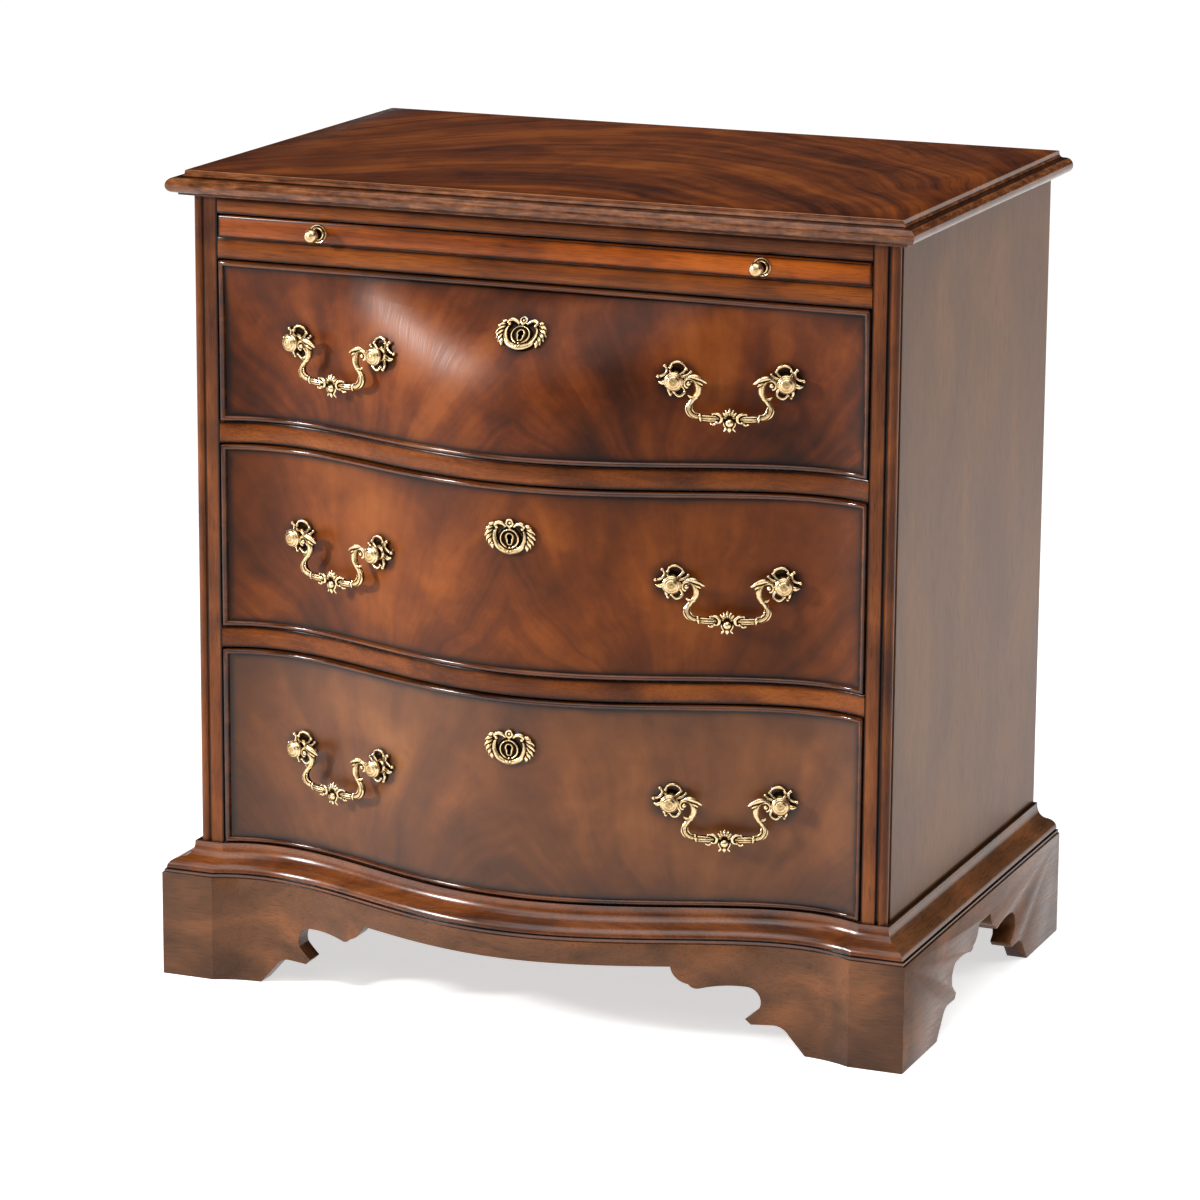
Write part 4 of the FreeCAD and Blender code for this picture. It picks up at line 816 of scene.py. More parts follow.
# %% [markdown]
# Each stile has a bead worked on its outer corner, rather more than a half round, between
# two narrow grooves. The section is a closed outline in plan, drawn up from the plinth.

# %% Stiles and ends
STILE_DEPTH = 38 * MM
BEAD = 4.5 * MM
QUIRK = 1.6 * MM
QUIRK_DEPTH = 2.6 * MM
PLINTH_HEIGHT = 98 * MM
HALF_INSIDE = 317 * MM


def stile_outline():
    """The right-hand stile in plan."""
    x_bead = HALF_CASE - 2 * BEAD
    y_bead = Y_STILE + 2 * BEAD
    points = [(HALF_OPENING, Y_STILE + STILE_DEPTH), (HALF_OPENING, Y_STILE + 0.6 * MM)]
    points += [(HALF_OPENING + 0.6 * MM, Y_STILE), (x_bead - QUIRK - 0.5 * MM, Y_STILE)]
    points += [(x_bead - QUIRK, Y_STILE + 0.5 * MM), (x_bead - QUIRK, Y_STILE + QUIRK_DEPTH)]
    for angle in spread(205, 425, 22):
        turn = math.radians(angle)
        points.append((HALF_CASE - BEAD + BEAD * math.cos(turn), Y_STILE + BEAD + BEAD * math.sin(turn)))
    points += [(HALF_CASE - QUIRK_DEPTH, y_bead + QUIRK), (HALF_INSIDE, y_bead + QUIRK)]
    return points + [(HALF_INSIDE, Y_STILE + STILE_DEPTH)]


for side, name in ((1, "right"), (-1, "left")):
    rings = [[(side * x, y, z) for x, y in stile_outline()] for z in (PLINTH_HEIGHT, Z_TOP)]
    stile = clean(new_piece(f"{name}_stile_finished", *loft(rings), STILE_WOOD))
    settle(stile, "carcase", "mahogany", f"{name}_stile")
    NODES[f"{name}_side_panel"].data.materials.clear()
    NODES[f"{name}_side_panel"].data.materials.append(END_WOOD)
print("stiles made, ends finished")

# %% [markdown]
# Four rails cross the front. The two above and below the slide are straight, and the two
# between the drawers bend with the front while their backs stay straight for the runners.
# The slide's front is a plain strip between the straight ones. The rail over each drawer
# has a mortise in its underside, into which the drawer's lock shoots its bolt.

# %% Rails and slide front
RAIL_DEPTH = 60 * MM
RAILS = [
    ("frieze_rail", 712 * MM, 728 * MM, 38 * MM, 0.0),
    ("slide_rail", 671 * MM, 690.5 * MM, RAIL_DEPTH, 0.0),
    ("upper_drawer_rail", 502 * MM, 521.5 * MM, RAIL_DEPTH, BOW),
    ("lower_drawer_rail", 311 * MM, 330.5 * MM, RAIL_DEPTH, BOW),
]
BOLT_THROW = 8 * MM
BOLT_ROOM = 0.6 * MM


def mortised(piece, number):
    """Room for a drawer's bolt where it rises."""
    low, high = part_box(f"drawer_{number}_lock_bolt")
    sides = [edge for axis in (0, 1) for edge in (low[axis] - BOLT_ROOM, high[axis] + BOLT_ROOM)]
    return cut_away(piece, *block(*sides, low[2], high[2] + BOLT_THROW + BOLT_ROOM))


for seed, (name, low, high, depth, bow) in enumerate(RAILS):
    # Painted shade: each rail goes black along its edges, where the gaps lie in shade.
    edges = dark_edges([(2, low, high)])
    # Painted shadow of the top's nose, darkening the frieze towards its top.
    if name == "frieze_rail":
        edges.append(([(2, 0.0, high)], 15 * MM, 0.4))
    finish = straight_mahogany(f"{name}_mahogany", 0, RAIL_BROWN, 1.3 + 4.1 * seed, stains_and_shade=edges, shine=0.2)
    bar = block(-HALF_OPENING, HALF_OPENING, Y_STILE, Y_STILE + depth, low, high)
    rail = new_piece(f"{name}_finished", *bar)
    eased(sliced(clean(rail), 0, CROSS_CUTS[1:-1]), 1.0 * MM)
    run_tree(rail, SERPENTINE, Bow=bow, Back_Start=Y_STILE + depth / 2, Back_Share=0.0, Finish=finish)
    if seed > 0:
        mortised(rail, seed)
    settle(clean(rail), "carcase", "mahogany", name)
SLIDE_BOTTOM = 690.8 * MM
SLIDE_THICKNESS = 19 * MM
HALF_SLIDE = HALF_OPENING - 1.0 * MM
SLIDE_TOP = SLIDE_BOTTOM + SLIDE_THICKNESS
STRIP_DEPTH = 22 * MM
strip = block(-HALF_SLIDE, HALF_SLIDE, Y_STILE, Y_STILE + STRIP_DEPTH, SLIDE_BOTTOM, SLIDE_TOP)
# Painted shade: the slide's front goes black along its edges, in the gap round it.
edges = dark_edges([(0, -HALF_SLIDE, HALF_SLIDE), (2, SLIDE_BOTTOM, SLIDE_TOP)], 4.2 * MM)
SLIDE_WOOD = straight_mahogany("slide_mahogany", 0, BRIGHT_ORANGE, 15.2, stains_and_shade=edges, shine=0.2)
slide_front = clean(new_piece("slide_front_finished", *strip, SLIDE_WOOD))
clean(made_plain(eased(slide_front, 1.0 * MM)))
settle(slide_front, "slide", "mahogany", "slide_front")
print("rails:", len(RAILS), "and the slide front")

# %% [markdown]
# The base moulding spreads from the case to the plinth: a flat, a hollow that runs on
# into a round, a narrow groove and a fillet. The front length bends with the serpentine
# and is mitred to the side lengths, so each point of its section ends at its own x.
# Where the curve meets the straight corner it leaves a crease, which stays crisp here
# and on the plinth.

# %% Base moulding
MOULDING = [(0, 125), (3.6, 125), (4, 124.6), (4, 122.6)]
MOULDING += quadratic((4, 122.6), (4.6, 112), (13.6, 110.6), 10)[1:]
MOULDING += quadratic((13.6, 110.6), (23.0, 109.4), (23.8, 102), 12)[1:]
MOULDING += [(22.8, 101.4), (22.8, 100.8), (25, 100.8), (25.4, 100.4), (25.4, 98), (0, 98)]
MOULDING = [(out * MM, z * MM) for out, z in MOULDING]
CREASE = 22
rings = [[(-HALF_CASE - out, Y_STILE - out, z) for out, z in MOULDING]]
rings += [[(x, Y_STILE - out, z) for out, z in MOULDING] for x in CROSS_CUTS]
rings += [[(HALF_CASE + out, Y_STILE - out, z) for out, z in MOULDING]]
moulding = new_piece("front_base_moulding_finished", *loft(rings))
run_tree(moulding, SERPENTINE, Finish=MOULDING_WOOD)
settle(clean(moulding, CREASE), "carcase", "plinth_mahogany", "front_base_moulding")
for side, name in ((1, "right"), (-1, "left")):
    rings = [[(side * (HALF_CASE + out), Y_STILE - out, z) for out, z in MOULDING]]
    rings += [[(side * (HALF_CASE + out), Y_BACK, z) for out, z in MOULDING]]
    moulding = clean(new_piece(f"{name}_base_moulding_finished", *loft(rings), SIDE_MOULDING_WOOD), 30)
    settle(moulding, "carcase", "plinth_mahogany", f"{name}_base_moulding")
print("base moulding:", len(MOULDING), "points round its section")

# %% [markdown]
# The plinth is sawn into bracket feet with scrolled inner edges. One foot is drawn as
# shares of its reach along the board and of the height under the apron, so the same
# line serves the front and the shorter sides. Arcs through three points make the
# scrolls, apart from the second three, which are joined by straight cuts. The front
# board is cut across and bent, and the corners are mitred.

# %% Plinth
Y_PLINTH = -205 * MM
PLINTH_THICKNESS = 20 * MM
APRON_BOTTOM = 77 * MM
FRONT_FOOT, SIDE_FOOT_SHARE = 212 * MM, 0.464
FOOT_STRAIGHTS = [(0.448, 0.0), (0.519, 0.221)]
FOOT_ARCS = [
    ((0.519, 0.221), (0.547, 0.299), (0.59, 0.331)),
    ((0.59, 0.331), (0.679, 0.325), (0.703, 0.39)),
    ((0.703, 0.39), (0.67, 0.461), (0.644, 0.532)),
    ((0.644, 0.532), (0.653, 0.708), (0.708, 0.779)),
    ((0.708, 0.779), (0.802, 0.779), (0.887, 0.74)),
    ((0.887, 0.74), (0.91, 0.747), (0.929, 0.792)),
    ((0.929, 0.792), (0.976, 0.864), (1.0, 1.0)),
]


def arc(one, two, three, count=8):
    """Points on the circle through three points, without the first."""
    (ax, ay), (bx, by), (cx, cy) = one, two, three
    twice = 2 * (ax * (by - cy) + bx * (cy - ay) + cx * (ay - by))
    sa, sb, sc = ax * ax + ay * ay, bx * bx + by * by, cx * cx + cy * cy
    mx = (sa * (by - cy) + sb * (cy - ay) + sc * (ay - by)) / twice
    my = (sa * (cx - bx) + sb * (ax - cx) + sc * (bx - ax)) / twice
    radius = math.hypot(ax - mx, ay - my)
    start, middle, end = (math.atan2(y - my, x - mx) for x, y in (one, two, three))
    middle = (middle - start) % math.tau
    end = (end - start) % math.tau
    if middle > end:
        end -= math.tau
    angles = [start + end * i / count for i in range(1, count + 1)]
    return [(mx + radius * math.cos(angle), my + radius * math.sin(angle)) for angle in angles]


def foot_outline(reach):
    """One foot, from its inner toe on the floor to the apron, as (along, height)."""
    points = [(d * reach, z * APRON_BOTTOM) for d, z in FOOT_STRAIGHTS]
    for trio in FOOT_ARCS:
        scaled = [(d * reach, z * APRON_BOTTOM) for d, z in trio]
        points += scaled[1:] if trio is FOOT_ARCS[1] else arc(*scaled)
    return points


def plinth_outline(length, reach):
    """A whole board with a foot at each end, from 0 to its length."""
    foot = foot_outline(reach)
    far_foot = [(length - d, z) for d, z in foot[::-1]]
    return [(0, 0)] + foot + far_foot + [(length, 0), (length, PLINTH_HEIGHT), (0, PLINTH_HEIGHT)]


outline = plinth_outline(2 * HALF_PLINTH, FRONT_FOOT)
outer = [(d - HALF_PLINTH, Y_PLINTH, z) for d, z in outline]
inner_half = HALF_PLINTH - PLINTH_THICKNESS
inner = [(max(-inner_half, min(inner_half, x)), Y_PLINTH + PLINTH_THICKNESS, z) for x, _, z in outer]
plinth = new_piece("front_plinth_finished", *loft([outer, inner]))
eased(sliced(clean(plinth), 0, CROSS_CUTS), 0.8 * MM)
run_tree(plinth, SERPENTINE, Finish=PLINTH_WOOD)
settle(clean(plinth, CREASE), "carcase", "plinth_mahogany", "front_plinth")
side_length = Y_BACK - Y_PLINTH
outline = plinth_outline(side_length, SIDE_FOOT_SHARE * side_length)
for side, name in ((1, "right"), (-1, "left")):
    outer = [(side * HALF_PLINTH, Y_PLINTH + d, z) for d, z in outline]
    inner = [(side * inner_half, max(y, Y_PLINTH + PLINTH_THICKNESS), z) for _, y, z in outer]
    plinth = new_piece(f"{name}_plinth_finished", *loft([outer, inner]), SIDE_PLINTH_WOOD)
    clean(made_plain(eased(clean(plinth), 0.8 * MM)))
    settle(plinth, "carcase", "plinth_mahogany", f"{name}_plinth")
print("plinth outline:", len(outline), "points")

# %% [markdown]
# A drawer front is a straight board with a keyhole bored through it, cut across both
# ways and bent. Round it runs the cock bead, a thin strip with a rounded edge that
# stands proud of the face; it is one loop with mitred corners, bent by the same tree.
# The top drawer's bolt rises through its bead, which has a mortise for it.

# %% Drawer fronts and cock beads
FRONT_THICKNESS = 20 * MM
HALF_FACE = 309.5 * MM
BEAD_PROUD = 3 * MM
FACE_SPANS = {number: (low - BEAD_WIDTH, high + BEAD_WIDTH) for number, (low, high) in CORE_SPANS.items()}
KEYHOLES = {1: 630.8 * MM, 2: 455.3 * MM, 3: 264.3 * MM}
KEY_RADIUS = 2.7 * MM
KEY_SLOT = 6.5 * MM
KEY_FOOT = 0.62
DOVETAIL_SHOW = 0.2 * MM


def keyhole_outline(radius, slot):
    """A round hole over a slot that widens a little downwards, about (0, 0)."""
    points = [(-KEY_FOOT * radius, -slot), (KEY_FOOT * radius, -slot)]
    for angle in spread(-58, 238, 20):
        points.append((radius * math.cos(math.radians(angle)), radius * math.sin(math.radians(angle))))
    return points


def bored(piece, height):
    """A keyhole through a straight drawer front."""
    rings = [[(x, y, height + z) for x, z in keyhole_outline(KEY_RADIUS, KEY_SLOT)] for y in (-0.3, 0.1)]
    return cut_away(piece, *loft(rings))


def bead_section():
    """Across the strip and forward of the drawer face."""
    middle = BEAD_WIDTH / 2
    points = [(0.0, FRONT_THICKNESS)]
    for angle in spread(180, 0, 12):
        turn = math.radians(angle)
        points.append((middle + middle * math.cos(turn), middle - BEAD_PROUD - middle * math.sin(turn)))
    return points + [(BEAD_WIDTH, FRONT_THICKNESS)]


def bead_loop(low, high):
    section = bead_section()
    rings = [[(-HALF_FACE + w, Y_STILE + y, low + w) for w, y in section]]
    stations = spread(-HALF_CORE, HALF_CORE, 64)[1:-1]
    rings += [[(x, Y_STILE + y, low + w) for w, y in section] for x in stations]
    rings.append([(HALF_FACE - w, Y_STILE + y, low + w) for w, y in section])
    for z in spread(low + BEAD_WIDTH, high - BEAD_WIDTH, 12)[1:-1]:
        rings.append([(HALF_FACE - w, Y_STILE + y, z) for w, y in section])
    rings.append([(HALF_FACE - w, Y_STILE + y, high - w) for w, y in section])
    rings += [[(x, Y_STILE + y, high - w) for w, y in section] for x in stations[::-1]]
    rings.append([(-HALF_FACE + w, Y_STILE + y, high - w) for w, y in section])
    for z in spread(high - BEAD_WIDTH, low + BEAD_WIDTH, 12)[1:-1]:
        rings.append([(-HALF_FACE + w, Y_STILE + y, z) for w, y in section])
    return loft(rings, closed_path=True)


for number, (low, high) in CORE_SPANS.items():
    half = HALF_CORE - DOVETAIL_SHOW
    board = block(-half, half, Y_STILE, Y_STILE + FRONT_THICKNESS, low, high)
    front = new_piece(f"drawer_{number}_front_finished", *board)
    bored(clean(front), KEYHOLES[number])
    sliced(sliced(front, 0, CROSS_CUTS[1:-1]), 2, spread(low, high, 20)[1:-1])
    swell = float(number == 1)
    middle = Y_STILE + FRONT_THICKNESS / 2
    run_tree(front, SERPENTINE, Swell=swell, Back_Start=middle, Finish=FRONT_FINISH[number])
    settle(clean(front), f"drawer_{number}", "figured_mahogany", f"drawer_{number}_front")
    bead = new_piece(f"drawer_{number}_cock_bead_finished", *bead_loop(*FACE_SPANS[number]))
    run_tree(bead, SERPENTINE, Swell=swell, Finish=BEAD_FINISH[number])
    if number == 1:
        mortised(bead, number)
    settle(clean(bead), f"drawer_{number}", "mahogany", f"drawer_{number}_cock_bead")
    print("drawer", number, "front:", len(front.data.polygons), "bead:", len(bead.data.polygons))

# %% [markdown]
# The brass is cast and chased: high places are rubbed bright and the hollows keep a
# dark patina. To tell one from the other, each casting is compared with a smoothed copy
# of itself; where the smoothed copy lies outside the metal there is a hollow. That
# difference is stored on the points as `hollow`, with painted shade added on the low
# places near the wood, and the finish reads it; the finish also paints shade on faces
# turned downwards.

# %% Brass finish
def mark_hollows(mesh, passes, reach, ground=None, even=0.5):
    """Stores 0 on ridges, a middle value on even ground and 1 in hollows; low places near the wood get
    painted shade on top.
    """
    count = len(mesh.vertices)
    places = np.empty(count * 3)
    normals = np.empty(count * 3)
    edges = np.empty(len(mesh.edges) * 2, dtype=np.int64)
    mesh.vertices.foreach_get("co", places)
    mesh.vertices.foreach_get("normal", normals)
    mesh.edges.foreach_get("vertices", edges)
    places = places.reshape(-1, 3)
    one, two = edges.reshape(-1, 2).T
    degree = np.maximum(np.bincount(edges, minlength=count), 1)[:, None]
    smooth = places
    for _ in range(passes):
        total = np.zeros_like(smooth)
        np.add.at(total, one, smooth[two])
        np.add.at(total, two, smooth[one])
        smooth = total / degree
    depth = ((smooth - places) * normals.reshape(-1, 3)).sum(1)
    value = np.clip(even + depth / (2 * reach), 0, 1)
    # Painted shade: places low on the casting, near the wood, are darkened.
    if ground is not None:
        low = np.clip((ground[1] - places[:, 2]) / (ground[1] - ground[0]), 0, 1)
        value = np.clip(value + 0.5 * low, 0, 1)
    mesh.attributes.new("hollow", "FLOAT", "POINT").data.foreach_set("value", value.astype(np.float32))
    return mesh


BRASS_STOPS = [
    (0.14, 0.84, 0.635, 0.365),
    (0.36, 0.48, 0.314, 0.142),
    (0.52, 0.14, 0.074, 0.026),
    (0.66, 0.010, 0.005, 0.002),
]


def antique_brass():
    material, tree, place = blank_finish("antique_brass")
    hollow = add(tree, "ShaderNodeAttribute", attribute_name="hollow").outputs["Fac"]
    patches = clouds(tree, place, 420.0, 3, 0.6)
    pebbles = clouds(tree, place, 1100.0, 2, 0.5)
    normal = add(tree, "ShaderNodeTexCoord").outputs["Normal"]
    rise = add(tree, "ShaderNodeSeparateXYZ", {0: normal}).outputs[2]
    worn = calc(tree, "MULTIPLY_ADD", patches, 0.3, calc(tree, "SUBTRACT", hollow, 0.15))
    # Painted shade: faces turned downwards are darkened.
    worn = calc(tree, "ADD", worn, ramp(tree, rise, -0.9, 0.0, 0.24, 0.0))
    worn = calc(tree, "MULTIPLY_ADD", calc(tree, "SUBTRACT", pebbles, 0.5), 0.3, worn)
    roughness = ramp(tree, worn, 0.2, 0.8, 0.25, 0.58)
    height = calc(tree, "MULTIPLY_ADD", pebbles, 0.7, patches)
    shader = wired(material, palette(tree, worn, BRASS_STOPS), roughness, height, 0.5, 0.4 * MM)
    shader.inputs["Metallic"].default_value = 1.0
    return material


BRASS = antique_brass()
print("brass ready")

# %% [markdown]
# Rococo brass is all scrolls, so it is drawn with strands: a strand runs smoothly through
# points that each have a place and a thickness. The strands and balls of one casting are
# fused by a voxel remesh, which leaves the soft joins of real casting.

# %% Casting helpers
def smooth_run(points, steps=5):
    """A smooth run through points of any number of values."""
    ends = [points[0]] + list(points) + [points[-1]]
    run = []
    for p0, p1, p2, p3 in zip(ends, ends[1:], ends[2:], ends[3:]):
        for t in (i / steps for i in range(steps)):
            a, d = (-t + 2 * t ** 2 - t ** 3) / 2, (t ** 3 - t ** 2) / 2
            b, c = (2 - 5 * t ** 2 + 3 * t ** 3) / 2, (t + 4 * t ** 2 - 3 * t ** 3) / 2
            run.append([a * w + b * x + c * y + d * z for w, x, y, z in zip(p0, p1, p2, p3)])
    return run + [list(points[-1])]


def add_loft(casting, rings, closed_path=False):
    points, faces = loft(rings, closed_path)
    verts = [casting.verts.new(point) for point in points]
    for face in faces:
        casting.faces.new([verts[i] for i in face])


def strand(casting, points, flat=0.85, sides=10):
    """Points are (across, up, out, radius) in millimetres."""
    run = smooth_run(points)
    rings = []
    for i, (x, y, w, radius) in enumerate(run):
        before, after = run[max(i - 1, 0)], run[min(i + 1, len(run) - 1)]
        way = Vector([a - b for a, b in zip(after[:3], before[:3])]).normalized()
        beside = way.cross(Vector((0, 0, 1))).normalized()
        above = beside.cross(way)
        ring = []
        for turn in turns(sides):
            reach = beside * math.cos(turn) + above * flat * math.sin(turn)
            ring.append(Vector((x, y, w)) + radius * reach)
        rings.append(ring)
    add_loft(casting, rings)


def ball(casting, x, y, w, radius, flat=1.0):
    shape = Matrix.Translation((x, y, w)) @ Matrix.Diagonal((radius, radius, radius * flat, 1))
    bmesh.ops.create_icosphere(casting, subdivisions=3, radius=1.0, matrix=shape)


def hoop(casting, x, y, w, radius, thickness, steps=28, sides=10):
    rings = []
    for turn in turns(steps):
        way = Vector((math.cos(turn), math.sin(turn), 0))
        ring = []
        for lean in turns(sides):
            up = Vector((0, 0, thickness * math.sin(lean)))
            ring.append(Vector((x, y, w)) + way * (radius + thickness * math.cos(lean)) + up)
        rings.append(ring)
    add_loft(casting, rings, closed_path=True)


def poured(casting, name, voxel, ground):
    """Fuses a casting drawn in millimetres into one smooth skin in metres."""
    bmesh.ops.recalc_face_normals(casting, faces=casting.faces)
    bmesh.ops.scale(casting, vec=(MM, MM, MM), verts=casting.verts)
    piece = new_piece(name, [], [])
    casting.to_mesh(piece.data)
    casting.free()
    fuse = piece.modifiers.new("fuse", "REMESH")
    fuse.mode = "VOXEL"
    fuse.voxel_size = voxel * MM
    soften = piece.modifiers.new("soften", "SMOOTH")
    soften.factor = 0.5
    soften.iterations = 2
    made_plain(piece)
    piece.data.shade_smooth()
    mesh = mark_hollows(piece.data, 14, 0.23 * MM, ground, 0.56)
    mesh.materials.clear()
    mesh.materials.append(BRASS)
    bpy.data.objects.remove(piece)
    return mesh


print("casting helpers ready")

# %% [markdown]
# The bail is a swan-necked drop handle. Its arm starts in a curl beside the post, throws
# an acanthus leaf inwards, passes a collar with a spur, bends out and down, and runs
# along the bottom to a shell in the middle. One half is drawn and repeated for the other.

# %% Bail casting
ARM = [
    (36.4, -5.2, 0, 1.2), (38.7, -3.6, 0, 1.5), (39.1, -0.4, 0, 1.7), (37.5, 2.4, 0, 1.9),
    (34.6, 3.2, 0, 2.2), (31.0, 2.2, 0, 2.5), (28.4, -0.8, 0, 2.8), (27.2, -5.0, 0, 3.0),
    (27.8, -9.6, 0, 2.8), (30.2, -13.4, 0, 2.4), (33.2, -17.0, 0, 2.6), (35.2, -21.0, 0, 3.0),
    (34.6, -25.4, 0, 3.2), (31.4, -28.8, 0, 3.2), (26.6, -30.4, 0, 3.0), (20.5, -30.8, 0, 2.9),
    (14.0, -31.0, 0, 2.9), (9.0, -31.6, 0, 2.6), (5.5, -33.0, 0, 2.2),
]
BAIL_STRANDS = [
    [
        (35.6, 4.2, 0.8, 1.3), (31.4, 4.9, 1.3, 2.5), (26.8, 3.2, 1.2, 2.6),
        (22.6, 0.8, 0.8, 1.6), (19.8, -0.8, 0.4, 0.6),
    ],
    [(30.5, 1.8, 1.4, 1.3), (26.6, -0.4, 1.7, 1.7), (23.4, -2.6, 0.8, 0.7)],
    [(34.4, 4.2, 1.0, 0.9), (33.4, 5.4, 1.2, 0.9), (31.6, 5.6, 1.0, 0.8)],
    [(27.2, -12.2, 0.4, 1.0), (30.2, -13.8, 1.0, 1.8), (34.2, -13.2, 0.6, 1.2), (36.4, -11.6, 0.2, 0.5)],
    [(36.6, -19.0, 1.2, 0.8), (37.6, -23.4, 1.6, 1.2), (35.8, -28.0, 1.6, 1.2), (31.6, -31.4, 1.2, 0.8)],
    [(32.4, -20.5, 1.6, 0.7), (32.0, -24.0, 2.0, 1.0), (29.6, -26.9, 1.8, 1.0), (25.6, -28.0, 1.4, 0.7)],
    [(25.8, -27.2, 1.4, 0.9), (25.4, -30.6, 2.6, 1.2), (25.0, -34.0, 1.4, 0.9)],
    [(23.8, -29.2, 2.0, 0.7), (18.0, -29.5, 2.4, 1.0), (11.6, -29.8, 2.0, 0.7)],
    [(23.8, -31.0, 2.5, 0.6), (18.0, -31.2, 3.0, 0.9), (11.6, -31.4, 2.5, 0.6)],
    [(23.8, -32.6, 2.0, 0.7), (18.0, -32.9, 2.4, 1.0), (11.6, -33.0, 2.0, 0.7)],
    [
        (14.0, -27.4, 1.2, 0.9), (10.0, -27.2, 2.0, 1.3), (7.0, -29.8, 2.4, 1.5),
        (7.4, -33.6, 2.2, 1.3), (10.4, -35.0, 1.6, 1.0),
    ],
    [(12.0, -33.6, 0.6, 1.2), (12.8, -36.2, 0.8, 1.1), (15.2, -37.0, 0.6, 0.8)],
    [(2.2, -39.4, 1.0, 1.3), (4.2, -41.4, 1.0, 1.0), (5.2, -43.0, 0.6, 0.5)],
]
BAIL_BALLS = [(36.0, -1.4, 0.2, 2.4), (16.0, -36.0, 0.6, 1.3)]
BAIL_BALLS += [(14.6, -27.6, 1.2, 1.2), (10.8, -34.6, 1.8, 1.3)]
PIVOT_PIN = [(35.0, 0, 0, 1.5), (42.0, 0, 0, 1.5), (48.2, 0, 0, 1.5)]
SHELL_FOOT = -31.6
SHELL_RIBS = 7
RIB_ANGLE = math.radians(24)
CASTING_VOXEL = 0.42


def mirrored_points(points, side):
    return [(side * x, y, w, radius) for x, y, w, radius in points]


def bail_mesh():
    casting = bmesh.new()
    for side in (-1, 1):
        for points in [ARM, PIVOT_PIN] + BAIL_STRANDS:
            strand(casting, mirrored_points(points, side), 1.0 if points in (ARM, PIVOT_PIN) else 0.8)
        for x, y, w, radius in BAIL_BALLS:
            ball(casting, side * x, y, w, radius)
    strand(casting, [(-7.5, -33.0, -0.6, 2.4), (0, -34.2, -0.6, 4.2), (7.5, -33.0, -0.6, 2.4)], 0.5)
    ball(casting, 0, -35.2, 1.4, 3.9, 0.75)
    hoop(casting, 0, -35.2, 1.2, 4.9, 0.9)
    for i in range(SHELL_RIBS):
        place = i - (SHELL_RIBS - 1) / 2
        x, y = math.sin(place * RIB_ANGLE), math.cos(place * RIB_ANGLE)
        form = ((1, 0.8, 0.9), (5, 1.6, 1.4), (8.4 - 0.5 * abs(place), 0.8, 0.8))
        run = [(x * reach, SHELL_FOOT + y * reach, w, radius) for reach, w, radius in form]
        strand(casting, run, 0.8)
        ball(casting, *run[-1][:3], 1.05)
    strand(casting, [(0, -38.4, 1.0, 2.4), (0, -41.4, 1.2, 1.9), (0, -44.0, 0.6, 0.5)], 0.8)
    return poured(casting, "bail_casting", CASTING_VOXEL, (-1.6 * MM, 0.6 * MM))


BAIL_MESH = bail_mesh()
print("bail:", len(BAIL_MESH.polygons), "faces")

# %% [markdown]
# Under each post lies a rose, an open wreath of C-scrolls with ball ends that leans away
# from the bail. The left and the right rose of a handle are mirror images, so the same
# strands are drawn twice.

# %% Rose castings
ROSE_STRANDS = [
    [
        (3.5, 10.4, 1.4, 0.9), (2.2, 13.4, 2.0, 1.1), (-2.4, 14.8, 2.2, 1.2),
        (-7.0, 13.0, 2.0, 1.1), (-9.6, 9.4, 1.4, 0.9),
    ],
    [(-9.6, 9.4, 1.4, 0.9), (-7.6, 6.2, 1.6, 1.0), (-4.5, 3.5, 1.2, 1.2)],
    [(3.5, 10.4, 1.4, 0.9), (4.4, 7.6, 1.6, 1.0), (2.5, 4.0, 1.2, 1.2)],
    [
        (8.6, 11.2, 1.8, 0.9), (6.8, 8.6, 2.0, 1.1), (7.6, 5.2, 2.0, 1.2),
        (10.8, 2.8, 1.8, 1.1), (14.4, 2.0, 1.6, 0.8),
    ],
    [(5.5, -1.4, 1.4, 1.6), (10.4, -3.4, 2.0, 1.8), (14.4, -2.6, 1.2, 0.5)],
    [(4.0, -5.0, 1.4, 1.4), (5.4, -9.4, 1.8, 1.2), (3.8, -13.0, 1.6, 0.8)],
    [
        (0.4, -11.6, 1.4, 0.8), (-3.2, -14.6, 1.8, 1.1), (-7.4, -13.2, 2.0, 1.2),
        (-9.0, -9.4, 1.8, 1.1), (-5.5, -4.5, 1.4, 1.2),
    ],
    [(-5.5, 2.0, 1.4, 1.2), (-10.6, 3.4, 1.8, 1.1), (-13.6, 6.2, 1.6, 0.8)],
    [(-5.5, -1.6, 1.4, 1.2), (-11.0, -3.2, 1.8, 1.1), (-14.2, -1.4, 1.6, 0.8)],
]
ROSE_BALLS = [(3.9, 9.8, 1.6, 1.4), (-9.8, 8.8, 1.6, 1.4), (8.9, 11.4, 1.8, 1.4), (14.7, 2.0, 1.7, 1.5)]
ROSE_BALLS += [(3.5, -13.4, 1.6, 1.4), (0.6, -11.2, 1.5, 1.3)]
ROSE_BALLS += [(-13.9, 6.4, 1.6, 1.3), (-14.4, -1.2, 1.6, 1.3)]
ROSE_WEIGHT = 1.16


def rose_mesh(side):
    casting = bmesh.new()
    for points in ROSE_STRANDS:
        strand(casting, [(x, y, w, ROSE_WEIGHT * r) for x, y, w, r in mirrored_points(points, side)])
    for x, y, w, radius in ROSE_BALLS:
        ball(casting, side * x, y, w, ROSE_WEIGHT * radius)
    ball(casting, 0, 0, 0.8, 7.6, 0.2)
    # A thin plate under the wreath, darkened as a low place, fills the openings with painted shade.
    ball(casting, 0, 0, 0.5, 11.0, 0.06)
    return poured(casting, "rose_casting", CASTING_VOXEL, (0.7 * MM, 1.8 * MM))


ROSES = {side: rose_mesh(side) for side in (-1, 1)}
print("rose:", len(ROSES[1].polygons), "faces")

